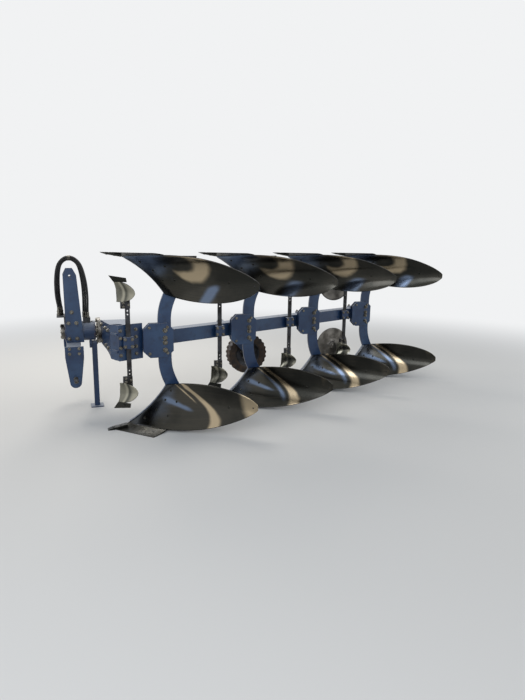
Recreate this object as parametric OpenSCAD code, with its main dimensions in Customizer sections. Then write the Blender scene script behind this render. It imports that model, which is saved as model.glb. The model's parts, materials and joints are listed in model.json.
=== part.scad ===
// Four-furrow mounted reversible plough, parked on its lower shares and its stand.
// X points forwards, Y to the left and Z up. A pair is an upper and a lower body on one bracket.

/* [Row of bodies] */
// Number of furrows
pairs = 4; // [2:1:5]
// Distance between bodies along the travel
pitch_x = 1000; // [900:10:1100]
// Distance between bodies across the travel
pitch_y = 410; // [350:5:450]
// Height from the lower share plane to the upper share plane
tip_height = 1645; // [1545:5:1745]

/* [Moldboards] */
// Reach of a moldboard behind the share point
board_reach = 1258; // [1200:2:1300]
// Side reach of a moldboard's tail from its landside
board_side = 686; // [650:2:720]
// Height of a moldboard over the share plane at its middle
board_rise = 452; // [430:2:475]
// Thickness of a moldboard
board_t = 9; // [7:0.5:12]
// Hollow of a moldboard at its middle
board_belly = 46; // [30:1:60]
// Reach of a moldboard's shin behind the share point, at its foot
shin_back = 190; // [180:2:200]
// Height of the shin's foot over the share plane
shin_foot = 42; // [34:1:50]

/* [Shares] */
// Cutting width of a share
share_w = 385; // [350:5:400]
// Thickness of a share
share_t = 11; // [8:0.5:14]
// Width of the point bar
point_w = 62; // [50:1:70]
// Thickness of the point bar
point_t = 22; // [18:1:26]

/* [Legs and landsides] */
// Thickness of a leg
leg_t = 30; // [24:1:36]
// Width of a leg
leg_w = 125; // [100:5:150]
// Distance of a leg behind the share point at the beam
leg_back = 562; // [550:2:575]
// Distance of a bracket's middle behind the share point
bracket_back = 500; // [485:5:515]
// Thickness of a landside and of a frog
side_t = 14; // [10:1:18]
// Height of a landside
side_h = 115; // [90:5:140]
// Distance of the heel behind the share point
heel_back = 890; // [820:5:940]
// Height of a landside over the share plane
side_rise = 30; // [20:1:40]
// Radius of the stay rod from a frog to its moldboard's back
stay_r = 11; // [8:1:14]
// Thickness of the bracket plates
bracket_t = 15; // [10:1:20]
// Height of the bracket plates
bracket_h = 330; // [300:5:380]
// Length of the bracket plates
bracket_l = 285; // [250:5:320]

/* [Main beam] */
// Side of the square beam tube
beam_s = 140; // [120:5:160]
// Wall of the beam tube
beam_wall = 8; // [5:1:12]
// Distance of the beam's axis behind the landside plane at a leg
beam_off = 185; // [175:1:210]
// Front end of the beam behind the first share point
beam_nose = 110; // [90:5:140]
// Length of the beam behind the last leg
beam_tail = 190; // [180:5:260]

/* [Turnover and headstock] */
// Distance of the roll axis to the right of the first landside
roll_off = 780; // [740:5:820]
// Outer radius of the bearing housing
housing_r = 100; // [90:1:110]
// Radius of the roll shaft
shaft_r = 55; // [45:1:65]
// Running clearance of the shaft and the pins
fit = 0.05; // [0.02:0.01:0.1]
// Rear end of the bearing housing ahead of the first share point
housing_x = 20; // [10:1:40]
// Length of the bearing housing
housing_l = 300; // [280:5:340]
// Radius of the turnover flange
flange_r = 135; // [125:1:150]
// Thickness of the turnover flange
flange_t = 30; // [20:1:40]
// Radius of the turnover cylinder's barrel
barrel_r = 40; // [32:1:48]
// Height of the turnover cylinder's head over the ground
barrel_top = 1310; // [1250:5:1330]
// Height of the tower's top over the ground
tower_top = 1465; // [1440:5:1520]
// Length of the tower plates along the travel
tower_l = 125; // [110:5:140]
// Thickness of the tower and hitch plates
plate_t = 16; // [12:1:20]
// Width over the lower hitch plates
hitch_w = 700; // [660:5:760]
// Side of the hitch cross tube
cross_s = 110; // [90:5:120]
// Height of the lower link pins over the ground
link_z = 400; // [370:5:430]
// Diameter of the lower link pins
link_d = 28; // [25:1:37]
// Diameter of the top link bore
top_d = 25.7; // [25:0.1:32]

/* [Parking stand] */
// Outer side of the stand's square leg
stand_s = 52; // [44:1:60]
// Wall of the stand's leg
stand_wall = 5; // [3:1:8]
// Side of the stand's foot plate
foot_s = 130; // [110:5:160]

/* [Skimmers] */
// Distance of a skimmer stem behind the share point
skim_back = 217; // [200:1:240]
// Thickness of a skimmer stem
skim_t = 22; // [18:1:28]
// Width of a skimmer stem
skim_w = 42; // [36:1:50]
// Height of the skimmer points over the share plane
skim_z = 205; // [190:1:220]
// Side reach of a skimmer's moldboard
skim_side = 112; // [100:1:120]

/* [Depth wheel] */
// Radius of the depth wheel
wheel_r = 245; // [225:5:260]
// Width of the wheel's tyre
wheel_w = 150; // [120:5:170]
// Distance of the wheel's pivot behind the first share point
pivot_back = 1400; // [1360:5:1420]
// Distance of the wheel's middle from the first landside
wheel_off = 1050; // [1045:5:1080]
// Length of the wheel's arm
arm_l = 545; // [530:5:560]
// Angle of the wheel's arm under the horizontal
arm_a = 48; // [44:1:52]

/* [Disc coulters] */
// Radius of a disc coulter
disc_r = 235; // [220:5:250]
// Thickness of a disc coulter
disc_t = 5; // [4:0.5:8]
// Height of a disc coulter's axle over the share plane
disc_z = 400; // [380:5:420]

/* [Hidden] */
gap = 0.3;
// How far a cutter passes the face that it cuts
past = 1;
mid_z = tip_height / 2;
slope = pitch_y / pitch_x;
beam_a = atan(slope);
last = pairs - 1;
roll_y = -roll_off;
tower_x = housing_x + housing_l - tower_l - 12;
tower_mid = tower_x + tower_l / 2;
tower_front = tower_x + tower_l;
nut_l = 33;
rack_l = 80;
nose_x = tower_front + gap + rack_l;
tail_x = last * pitch_x + board_reach;
beam_end = -(last * pitch_x + bracket_back + beam_tail);
right_y = beam_y(beam_end) - beam_s / 2;
centre_x = (nose_x - tail_x) / 2;
centre_y = (board_side + right_y) / 2;

blue = "#2b4f86";
steel = "#8f9092";
worn = "#7d7468";
dark = "#2a2a2c";
rubber = "#4a4038";

// Y of the beam's axis at a place along the travel
function beam_y(x) = -beam_off + (x + bracket_back) * slope;
// Y of the beam's left side (s = 1) or right side (s = -1) there
function beam_side(x, s) = beam_y(x) + s * beam_s / 2 / cos(beam_a);
function unit(v) = v / norm(v);
function mix(a, b, t) = a * (1 - t) + b * t;
function bez(p, t) =
    p[0] * pow(1 - t, 3) + p[1] * 3 * t * pow(1 - t, 2) + p[2] * 3 * t * t * (1 - t) + p[3] * pow(t, 3);

// A curved board is a list of its lower edge, its upper edge, and its hollow at the shin and in the middle.
// An edge is four control points [x, y, z] from the shin to the tail.
shin_y = board_t * 0.65;
tail_z = board_rise * 0.61;
tail_h = 84;
shin_sag = 34;
low_edge = [
    [-shin_back, shin_y, shin_foot],
    [-board_reach * 0.502, board_side * 0.612, 0],
    [-board_reach * 0.736, board_side * 0.7, shin_foot / 2],
    [-board_reach, board_side, tail_z - tail_h / 2]];
top_edge = [
    [-board_reach * 0.452, shin_y, board_rise * 0.854],
    [-board_reach * 0.585, board_side * 0.312, board_rise],
    [-board_reach * 0.811, board_side * 0.818, board_rise * 1.084],
    [-board_reach, board_side, tail_z + tail_h / 2]];
main_board = [low_edge, top_edge, shin_sag, board_belly];

function hollow(e, u) = e[2] * (1 - u) + e[3] * sin(180 * u);
function chord(e, u) = bez(e[1], u) - bez(e[0], u);
function drift(e, u) =
    let (a = max(0, u - 0.05), b = min(1, u + 0.05))
    bez(e[0], b) + bez(e[1], b) - bez(e[0], a) - bez(e[1], a);
// The hollow lies straight back at the shin and square to the board behind it
function back_dir(e, u) =
    let (flat = unit([-chord(e, u)[2], 0, chord(e, u)[0]]), square = unit(cross(chord(e, u), drift(e, u))))
    unit(mix(flat, square, min(1, 4 * u)));
// A point on the face: across by a parabola that sags behind the chord of the two edges
function face(e, u, v) = mix(bez(e[0], u), bez(e[1], u), v) + back_dir(e, u) * hollow(e, u) * 4 * v * (1 - v);
function face_back(e, u, v) =
    let (d = 0.02, a = min(1 - d, max(d, u)), b = min(1 - d, max(d, v)))
    unit(cross(face(e, a, b + d) - face(e, a, b - d), face(e, a + d, b) - face(e, a - d, b)));
// The tail's corners are rounded over the last part of a board
function round_v(u, v, from, keep) =
    let (late = max(0, (u - from) / (1 - from)))
    0.5 + (v - 0.5) * (1 - (1 - keep) * (1 - sqrt(1 - pow(late, 3))));

// A closed sheet from its front grid and its rear grid, both lists of rows
module sheet(front, rear) {
    n = len(front) - 1;
    m = len(front[0]) - 1;
    o = (n + 1) * (m + 1);
    pts = concat([for (r = front, p = r) p], [for (r = rear, p = r) p]);
    function q(i, j) = i * (m + 1) + j;
    function two(a, b, c, d) = [[a, b, c], [a, c, d]];
    faces = concat(
        [for (i = [0:n - 1], j = [0:m - 1]) each two(q(i, j), q(i, j + 1), q(i + 1, j + 1), q(i + 1, j))],
        [for (i = [0:n - 1], j = [0:m - 1])
            each two(o + q(i, j), o + q(i + 1, j), o + q(i + 1, j + 1), o + q(i, j + 1))],
        [for (i = [0:n - 1]) each two(q(i, 0), q(i + 1, 0), o + q(i + 1, 0), o + q(i, 0))],
        [for (i = [0:n - 1]) each two(q(i, m), o + q(i, m), o + q(i + 1, m), q(i + 1, m))],
        [for (j = [0:m - 1]) each two(q(0, j), o + q(0, j), o + q(0, j + 1), q(0, j + 1))],
        [for (j = [0:m - 1]) each two(q(n, j), q(n, j + 1), o + q(n, j + 1), o + q(n, j))]);
    polyhedron(points = pts, faces = faces, convexity = 6);
}
// A curved board of one thickness, with nu by nv faces
module curved(e, t, nu, nv, from, keep) {
    front = [for (a = [0:nu]) [for (b = [0:nv]) face(e, a / nu, round_v(a / nu, b / nv, from, keep))]];
    rear = [for (a = [0:nu]) [for (b = [0:nv])
        let (u = a / nu, v = round_v(u, b / nv, from, keep)) face(e, u, v) + face_back(e, u, v) * t]];
    sheet(front, rear);
}

// Everything is built round the first share point and then shifted to the middle of its box
module placed() {
    translate([-centre_x, -centre_y, 0]) children();
}
module at_body(i) {
    placed() translate([-i * pitch_x, -i * pitch_y, 0]) children();
}
// Draws its children at a lower body, or turned over at an upper one
module turned(up) {
    if (up) translate([0, 0, tip_height]) mirror([0, 0, 1]) children();
    else children();
}
// A plate in the XZ plane from a list of [x, z] points, from y0 towards +Y
module side_plate(points, y0, t) {
    translate([0, y0 + t, 0]) rotate([90, 0, 0]) linear_extrude(t) polygon(points);
}
// A level plate round z from a list of [x, y] points
module level_plate(points, z, t) {
    translate([0, 0, z]) linear_extrude(t, center = true) polygon(points);
}
// A rod from a to b
module rod(a, b, r) {
    d = b - a;
    translate(a) rotate([0, acos(d[2] / norm(d)), atan2(d[1], d[0])]) cylinder(h = norm(d), r = r, $fn = 24);
}
// Cylinders along X and along Y, from the place where they are called
module along_x(l, r, n) {
    rotate([0, 90, 0]) cylinder(h = l, r = r, $fn = n);
}
module along_y(l, r, n) {
    rotate([-90, 0, 0]) cylinder(h = l, r = r, $fn = n);
}

board_u = 15;
board_v = 7;
module moldboard(i, up) {
    color(steel) at_body(i) turned(up) curved(main_board, board_t, board_u, board_v, 0.86, 0.5);
}

// The share's blade runs along the first columns of the moldboard's lower edge
share_cols = 4;
seam_gap = 0.5;
edge_t = 1.5;
edge_rake = 10;
function seam(s) = face(main_board, s * share_cols / board_u, 0);
function seam_out(s) = unit(seam(s) - face(main_board, s * share_cols / board_u, 0.08));
function seam_back(s) = face_back(main_board, s * share_cols / board_u, 0);
// The cutting edge runs at a slant from the point bar to the wing
function cutting(s) =
    [mix(-point_w - edge_rake, -share_w + 2 * edge_rake, s), mix(point_w + gap, share_w, s), edge_t];
module share(i, up) {
    dip = [0, 0, 4];
    under = [share_t / 2, 0, share_t * 0.6];
    bevel = [edge_rake / 2, 0, edge_t];
    function upper(s) = seam(s) + seam_out(s) * seam_gap;
    function middle(s) = mix(cutting(s), upper(s), 0.5) - dip;
    front = [for (a = [0:share_cols]) let (s = a / share_cols) [upper(s), middle(s), cutting(s)]];
    rear = [for (a = [0:share_cols]) let (s = a / share_cols)
        [upper(s) + seam_back(s) * share_t, middle(s) - under, cutting(s) - bevel]];
    color(steel) at_body(i) turned(up) {
        difference() {
            sheet(rear, front);
            translate([-shin_back + board_t - gap, -point_w, -point_w])
                cube([shin_back, 2 * point_w + gap, 4 * point_w]);
        }
        share_point();
    }
}
// The point bar rises from the tip to the foot of the shin
module share_point() {
    l = shin_back - board_t;
    nose = 60;
    side_plate([[0, 0], [-nose, 0], [-l, shin_foot - point_t], [-l, shin_foot],
        [-nose - edge_rake, point_t + edge_t], [-edge_rake / 2, edge_t * 2]], gap, point_w);
}

leg_rake = 103;
leg_foot = 300;
leg_bolt_r = 14;
leg_steps = 8;
module leg(i, up) {
    route = [[-leg_back, mid_z * 0.78], [-leg_back, mid_z * 0.6],
        [-leg_back - leg_rake * 0.5, mid_z * 0.5], [-leg_back - leg_rake, leg_foot]];
    root = mid_z - leg_bolt_r;
    line = [for (k = [0:leg_steps]) bez(route, k / leg_steps)];
    function side(k, s) =
        let (d = unit(line[min(leg_steps, k + 1)] - line[max(0, k - 1)]))
        line[k] + [-d[1], d[0]] * s * leg_w / 2;
    outline = concat([[-leg_back + leg_w / 2, root]], [for (k = [0:leg_steps]) side(k, 1)],
        [for (k = [leg_steps:-1:0]) side(k, -1)], [[-leg_back - leg_w / 2, root]]);
    color(blue) at_body(i) turned(up) {
        difference() {
            side_plate(outline, -leg_t - gap, leg_t);
            leg_bolts(leg_bolt_r + fit, leg_t + 2 * past);
        }
        frog();
        landside();
        stay();
    }
}
// The frog carries the moldboard's shin and joins the leg's foot to the landside
module frog() {
    shin = [for (v = [0.04:0.16:1]) let (p = face(main_board, 0, v)) [p[0], p[2]]];
    rear = -leg_back - leg_w * 1.5;
    heel = [[rear + leg_t, leg_foot + leg_t], [rear, side_h + side_rise], [rear, side_rise]];
    side_plate(concat([[-shin_back - leg_t, side_rise]], shin, heel), -leg_t - gap, leg_t);
}
module landside() {
    slant = 50;
    front = -shin_back - leg_w;
    side_plate([[-heel_back, side_rise], [-heel_back + slant / 4, side_rise + side_h * 0.7],
        [-heel_back + slant, side_rise + side_h], [front - slant, side_rise + side_h], [front, side_rise]],
        -leg_t - gap - side_t, side_t + past);
}
// The stay runs from the frog to the moldboard's back and ends just clear of it, however it slants
module stay() {
    u = 0.72;
    v = 0.5;
    a = [-leg_back - leg_w * 1.3, -leg_t / 2, side_rise + side_h];
    spot = face(main_board, u, v) + face_back(main_board, u, v) * (board_t + gap);
    slant = sqrt(1 - pow(unit(spot - a) * face_back(main_board, u, v), 2));
    rod(a, spot + face_back(main_board, u, v) * stay_r * slant, stay_r);
}

// The pivot bolt and the shear bolt of a leg, or their holes
module leg_bolts(r, l) {
    for (z = [22, 95]) translate([-leg_back, -leg_t / 2 - gap - l / 2, mid_z - z]) along_y(l, r, 32);
}
module bracket(i) {
    half = bracket_h / 2;
    nose = bracket_l / 2;
    cut = 60;
    wing = 70;
    inner = -leg_t - 2 * gap;
    outer = -beam_off - wing;
    color(blue) at_body(i) {
        translate([-bracket_back, 0, mid_z]) {
            for (y0 = [0, inner - bracket_t])
                side_plate([[-nose, -half + cut], [-nose + cut, -half], [nose - cut, -half],
                    [nose, -half + cut], [nose, half - cut], [nose - cut, half], [-nose + cut, half],
                    [-nose, half - cut]], y0, bracket_t);
            for (s = [-1, 1])
                level_plate([[-110, inner - past], [110, inner - past], [90, outer + beam_s], [wing, outer],
                    [-wing, outer], [-130, outer + 100]], s * (beam_s + bracket_t) / 2, bracket_t);
        }
        for (up = [false, true]) turned(up) leg_bolts(leg_bolt_r, leg_t + 2 * gap + 2 * bracket_t);
    }
}

// The beam's own frame: X runs back along it and -Y is its left side
module at_beam() {
    placed() translate([-beam_nose, beam_y(-beam_nose), mid_z]) rotate([0, 0, 180 + beam_a]) children();
}
module main_beam() {
    hole = beam_s - 2 * beam_wall;
    l = (-beam_nose - beam_end) / cos(beam_a);
    color(blue) at_beam()
        difference() {
            translate([0, -beam_s / 2, -beam_s / 2]) cube([l, beam_s, beam_s]);
            translate([-past, -hole / 2, -hole / 2]) cube([l + 2 * past, hole, hole]);
        }
}

console_x = -flange_t - 2;
console_t = 20;
console_half = 110;
console_back = -310;
cheek_t = 16;
// Height of the cheek over the middle, at the hub, half way and at the bracket
cheek_rise = [122, 128, 168];
module front_console() {
    hole_r = 60;
    left = [for (k = [0:6]) bez([[console_x, roll_y + console_half],
        [console_x - 15, roll_y + console_half * 3], [-beam_nose + 40, -2.6 * console_half],
        [-beam_nose + 45, -console_half / 2]], k / 6)];
    right = [[-beam_nose, beam_side(-beam_nose, 1)], [console_back - 15, beam_side(console_back - 15, 1)],
        [console_back - 30, beam_side(console_back - 30, -1) - console_t], [console_back + 20, roll_y + 150],
        [console_back, roll_y - console_half]];
    color(blue) placed() translate([0, 0, mid_z]) {
        for (s = [-1, 1])
            translate([0, 0, s * (beam_s + console_t) / 2]) linear_extrude(console_t, center = true)
                difference() {
                    polygon(concat([[console_x, roll_y - console_half]], left, right));
                    for (k = [0, 1])
                        translate([console_back / 2 - 15 - 20 * k, roll_y + (5 + 3 * k) * hole_r * 0.95])
                            circle(hole_r);
                }
        translate([console_x - hole_r, roll_y - console_half, -beam_s / 2])
            cube([hole_r, 2 * console_half, beam_s]);
        translate([console_back, roll_y - console_half, -beam_s / 2])
            cube([console_x - console_back - hole_r + past, console_t, beam_s]);
        hub_cheek(left);
    }
    color(blue) at_beam() beam_cheek();
}
// An upright plate along the console's left side, lower in the middle than at its ends
module hub_cheek(left) {
    inset = [for (p = left) p - [cheek_t, 0]];
    n = len(inset) - 1;
    // A place ahead of the beam's nose and to the left of its axis, seen in plan
    function at_nose(ahead, off) = [-beam_nose, beam_y(-beam_nose)]
        + ahead * [cos(beam_a), sin(beam_a)] + off * [-sin(beam_a), cos(beam_a)];
    side = beam_s / 2 + gap;
    lap = [at_nose(cheek_t / 2, side + cheek_t - past), at_nose(cheek_t / 4, side + past)];
    plan = concat(left, lap, [for (k = [n:-1:0]) inset[k]]);
    rise = [for (k = [0:6]) bez([[roll_y + console_half, cheek_rise[0]], [-5 * console_half, cheek_rise[1]],
        [-3 * console_half, cheek_rise[1]], [0, cheek_rise[2] - past]], k / 6)];
    upper = concat([[roll_y, cheek_rise[0]]], rise, [[beam_s, cheek_rise[2] - past]]);
    last_up = len(upper) - 1;
    intersection() {
        linear_extrude(3 * cheek_rise[2], center = true) polygon(plan);
        rotate([90, 0, 90]) linear_extrude(4 * beam_nose, center = true)
            polygon(concat(upper, [for (k = [last_up:-1:0]) [upper[k][0], -upper[k][1]]]));
    }
}
// The same plate goes on along the beam's left side and ends just short of the first bracket
module beam_cheek() {
    side = beam_s / 2 + gap + cheek_t;
    l = (bracket_back - bracket_l / 2 - beam_nose - side * sin(beam_a) - gap) / cos(beam_a);
    high = cheek_rise[2];
    side_plate([[-cheek_t, -high], [l, -high], [l, high], [-cheek_t, high]],
        -beam_s / 2 - gap - cheek_t, cheek_t);
}

// The brace runs from the console to the beam's right side and stops just short of it
brace_r = 22;
brace_reach = 420;
module console_brace() {
    boss_r = 36;
    a = [console_back + 60, roll_y + 60];
    b = [-(bracket_back + brace_reach), beam_side(-(bracket_back + brace_reach), -1)];
    turn = atan2(b[1] - a[1], b[0] - a[0]);
    meet = turn - beam_a;
    short = brace_r / abs(tan(meet)) + 2 * gap / abs(sin(meet));
    color(blue) placed() translate([a[0], a[1], mid_z]) {
        cylinder(h = beam_s / 2, r = boss_r, center = true, $fn = 32);
        rotate([0, 0, turn]) along_x(norm(b - a) - short, brace_r, 32);
    }
}

nut_r = 22;
module roll_shaft() {
    color(dark) placed() translate([0, roll_y, mid_z]) {
        translate([console_x, 0, 0]) along_x(flange_t, flange_r, 64);
        translate([console_x, 0, 0]) along_x(housing_x + housing_l + nut_l - console_x, shaft_r, 48);
        translate([housing_x + housing_l + 2, 0, 0]) along_x(nut_l, shaft_r + nut_r, 48);
    }
}
module bearing_housing() {
    color(blue) placed() translate([housing_x, roll_y, mid_z]) difference() {
        along_x(housing_l, housing_r, 64);
        translate([-past, 0, 0]) along_x(housing_l + 2 * past, shaft_r + fit, 48);
    }
}

cross_z = mid_z - housing_r - cross_s - gap;
top_pin_z = tower_top - 70;
module headstock() {
    inner = housing_r + gap;
    boss_l = inner - 32;
    low = cross_z + cross_s;
    web_z = mid_z + housing_r + nut_r;
    nick = 30;
    spread = 45;
    color(blue) placed() translate([0, roll_y, 0]) difference() {
        union() {
            for (s = [-1, 1]) {
                side_plate([[tower_x - spread, low], [tower_front, low],
                    [tower_front, tower_top - 2 * nick], [tower_front - nick, tower_top],
                    [tower_x + nick, tower_top], [tower_x, tower_top - 2 * nick]],
                    s > 0 ? inner : -inner - plate_t, plate_t);
                translate([tower_mid, s > 0 ? inner - boss_l : -inner - past, top_pin_z])
                    along_y(boss_l + past, top_d / 2 + plate_t, 32);
            }
            translate([tower_x, -inner - past, web_z])
                cube([plate_t, 2 * (inner + past), top_pin_z - 2 * nick - web_z]);
        }
        translate([tower_mid, -2 * inner, top_pin_z]) along_y(4 * inner, top_d / 2, 32);
    }
}

hitch_extra = 8;
// The cross tube under the bearing, with a plate for a lower link at each end
module hitch_frame() {
    color(blue) placed() translate([0, roll_y, 0]) {
        translate([tower_x, -hitch_w / 2, cross_z]) cube([tower_l, hitch_w, cross_s]);
        for (s = [-1, 1]) hitch_plate(s > 0 ? hitch_w / 2 - plate_t : -hitch_w / 2 - hitch_extra);
    }
}
module hitch_plate(y0) {
    t = plate_t + hitch_extra;
    ear = 25;
    eye_r = 55;
    difference() {
        hull() {
            side_plate([[tower_x - ear, cross_z + cross_s], [tower_front + ear, cross_z + cross_s],
                [tower_front + ear, cross_z], [tower_x - ear, cross_z]], y0, t);
            translate([tower_mid, y0, link_z - eye_r * 0.7]) along_y(t, eye_r, 32);
        }
        translate([tower_mid, y0 - past, link_z]) along_y(t + 2 * past, link_d / 2 + fit, 32);
    }
}
pin_l = 110;
collar_l = 12;
// Each pin passes its plate and carries a collar outside it
module hitch_pins() {
    inner = hitch_w / 2 - plate_t - 2.5 * plate_t;
    outer = hitch_w / 2 + hitch_extra + gap;
    color(steel) placed() translate([tower_mid, roll_y, link_z])
        for (s = [-90, 90]) rotate([s, 0, 0]) {
            translate([0, 0, inner]) cylinder(h = outer + collar_l + pin_l - inner, r = link_d / 2, $fn = 32);
            translate([0, 0, outer]) cylinder(h = collar_l, r = link_d / 2 + hitch_extra, $fn = 32);
        }
}

valve_x = housing_x + 45;
valve_l = 70;
valve_w = 100;
valve_h = 42;
rack_t = 12;
rack_drop = 50;
rack_z = mid_z + housing_r + 60;
module hose_rack() {
    foot = housing_r / 4;
    rack_w = 2 * (housing_r + plate_t);
    color(dark) placed() translate([0, roll_y, 0]) {
        translate([valve_x, 0, mid_z]) difference() {
            translate([0, -valve_w / 2, housing_r - foot]) cube([valve_l, valve_w, foot + valve_h]);
            translate([-past, 0, 0]) along_x(valve_l + 2 * past, housing_r + gap, 64);
        }
        translate([tower_front + gap, -rack_w / 2, rack_z]) cube([rack_l, rack_w, rack_t]);
        translate([tower_front + gap, -rack_w / 2, rack_z - rack_drop])
            cube([rack_t, rack_w, rack_drop + past]);
    }
}

hose_r = 10.5;
// Share by which the outer hoses' bows are wider or narrower than the middle one's
hose_fan = 0.14;
// Route points of the hoses, relative to the tower's top
hose_route = [[-140, 0, mid_z + housing_r + valve_h + gap - tower_top], [-140, 0, -430], [-144, 4, -280],
    [-134, 10, -120], [-100, 16, 30], [-40, 20, 96], [30, 20, 98], [90, 18, 36], [116, 14, -90],
    [120, 8, -260], [106, 4, -400], [106, 4, rack_z + rack_t + gap - tower_top]];
// The route with its bow made wider or narrower, while its ends keep their height
function fanned(f) = [for (p = hose_route) [p[0] * f, p[1], p[2] > 0 ? p[2] * f : p[2]]];
// A smooth curve through the route's points
function cat(p, k, t) =
    let (a = p[max(0, k - 1)], b = p[k], c = p[k + 1], d = p[min(len(p) - 1, k + 2)])
    (b * 2 + (c - a) * t + (a * 2 - b * 5 + c * 4 - d) * t * t + (b * 3 - a - c * 3 + d) * t * t * t) / 2;
module tube(route, r, steps) {
    sides = 8;
    line = concat([for (k = [0:len(route) - 2], s = [0:steps - 1]) cat(route, k, s / steps)],
        [route[len(route) - 1]]);
    n = len(line);
    function along(k) = unit(line[min(n - 1, k + 1)] - line[max(0, k - 1)]);
    function right(k) = unit(cross(along(k), [0.2, 1, 0.1]));
    function ring(k, j) =
        let (a = right(k), b = cross(along(k), a), w = 360 * j / sides)
        line[k] + (a * cos(w) + b * sin(w)) * r;
    pts = [for (k = [0:n - 1], j = [0:sides - 1]) ring(k, j)];
    faces = concat(
        [for (k = [0:n - 2], j = [0:sides - 1]) let (e = (j + 1) % sides)
            [k * sides + j, k * sides + e, (k + 1) * sides + e, (k + 1) * sides + j]],
        [[for (j = [sides - 1:-1:0]) j]], [[for (j = [0:sides - 1]) (n - 1) * sides + j]]);
    polyhedron(points = pts, faces = faces, convexity = 8);
}
module hoses() {
    color(dark) placed() translate([tower_mid, roll_y, tower_top])
        for (k = [-1:1])
            translate([0, k * 2.4 * hose_r, 0]) tube(fanned(1 + k * hose_fan), hose_r, 3);
}

module turnover_cylinder() {
    foot = 34;
    lip = 6;
    head = 40;
    top = barrel_top - mid_z;
    color(dark) placed() translate([tower_x + plate_t + barrel_r + lip + 2, roll_y, mid_z]) difference() {
        union() {
            translate([0, 0, housing_r + foot - past])
                cylinder(h = top - housing_r - foot, r = barrel_r, $fn = 48);
            translate([0, 0, housing_r - foot / 2]) cylinder(h = foot * 1.5, r = barrel_r + lip, $fn = 48);
            translate([0, 0, top - head]) cylinder(h = head, r = barrel_r + lip, $fn = 48);
        }
        translate([-2 * barrel_r, 0, 0]) along_x(4 * barrel_r, housing_r + gap, 64);
    }
}

// The stand hangs from a pivot under the bearing and swings out to the right
stand_x = housing_x + 14;
stand_pin_r = 12;
pivot_z = mid_z - housing_r - stand_s / 2 - 6;
lug_t = 22;
module stand_bracket() {
    lug_x = stand_x + stand_s / 2 + gap;
    lug_h = housing_r + stand_s;
    color(blue) placed() translate([0, roll_y, 0]) difference() {
        union() {
            translate([lug_x, -stand_s, pivot_z]) cube([lug_t, 2 * stand_s, lug_h / 2]);
            translate([lug_x, 0, pivot_z]) along_x(lug_t, stand_s, 48);
            translate([stand_x - stand_s / 2, 0, pivot_z]) along_x(stand_s + lug_t, stand_pin_r, 32);
        }
        translate([0, 0, mid_z]) along_x(housing_l, housing_r + gap, 64);
    }
}
module stand_leg() {
    foot_t = 10;
    hole = stand_s - 2 * stand_wall;
    half = stand_s / 2;
    color(blue) placed() translate([stand_x, roll_y, 0]) difference() {
        union() {
            translate([-half, -half, foot_t]) cube([stand_s, stand_s, pivot_z - foot_t]);
            translate([-half, 0, pivot_z]) along_x(stand_s, half, 48);
            translate([-foot_s / 2, -foot_s / 2, 0]) cube([foot_s, foot_s, foot_t]);
        }
        translate([-hole / 2, -hole / 2, foot_t]) cube([hole, hole, pivot_z - foot_t - stand_s]);
        translate([-half - past, 0, pivot_z]) along_x(stand_s + 2 * past, stand_pin_r + fit, 32);
    }
}

// A skimmer's holder, moldboard and share, from the share up
holder_z = skim_z + 230;
holder_h = 70;
holder_l = 86;
skim_board_t = 7;
// The first pair's stem stands just clear of the console's cheek, at its front corner too
skim_off = (cheek_t + 2 * gap) / cos(beam_a) + skim_w / 2 * slope + gap;
skim_foot = skim_z + 58;
skim_board = [
    [[-106, 0, skim_foot], [-150, skim_side * 0.3, skim_foot - 4], [-192, skim_side * 0.78, skim_foot],
        [-264, skim_side, skim_foot + 54]],
    [[-124, 0, holder_z + 8], [-172, skim_side * 0.3, holder_z + 14], [-226, skim_side * 0.72, holder_z],
        [-280, skim_side, holder_z - 48]],
    12, 14];
module skimmer(i) {
    clamp = 48;
    plate = gap + (i == 0 ? (cheek_t + gap) / cos(beam_a) : 0);
    y0 = beam_side(-skim_back, 1) + skim_off;
    y1 = y0 + skim_t + 14;
    x0 = -skim_back - clamp;
    x1 = -skim_back + clamp;
    color(worn) at_body(i) {
        translate([-skim_back - skim_w / 2, y0, holder_z + past])
            cube([skim_w, skim_t, tip_height - 2 * (holder_z + past)]);
        level_plate([[x0, beam_side(x0, 1) + plate], [x1, beam_side(x1, 1) + plate], [x1, y1], [x0, y1]],
            mid_z, beam_s * 0.8);
        for (up = [false, true]) turned(up) translate([0, y0, 0]) skimmer_foot();
    }
}
module skimmer_foot() {
    lip = 4;
    frog_l = 54;
    back = -skim_back - skim_w / 2 - lip;
    translate([back, -lip, holder_z]) cube([holder_l, skim_t + 2 * lip, holder_h]);
    translate([back, lip, skim_foot + holder_h])
        cube([frog_l, skim_t, holder_z - skim_foot - holder_h + lip]);
    curved(skim_board, skim_board_t, 6, 5, 0.6, 0.35);
    skimmer_share();
}
// A flat share under the board, with its point at the landside
module skimmer_share() {
    back = [skim_board_t, -2, 0];
    tip = [-62, 0, skim_z];
    wing = [-198, skim_side * 0.86, skim_z + 18];
    heel = [-206, skim_side * 0.78, skim_foot - past];
    root = [-105, 0, skim_foot + 2];
    sheet([[tip, root], [wing, heel]], [[tip - back, root - back], [wing - back, heel - back]]);
}

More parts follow.
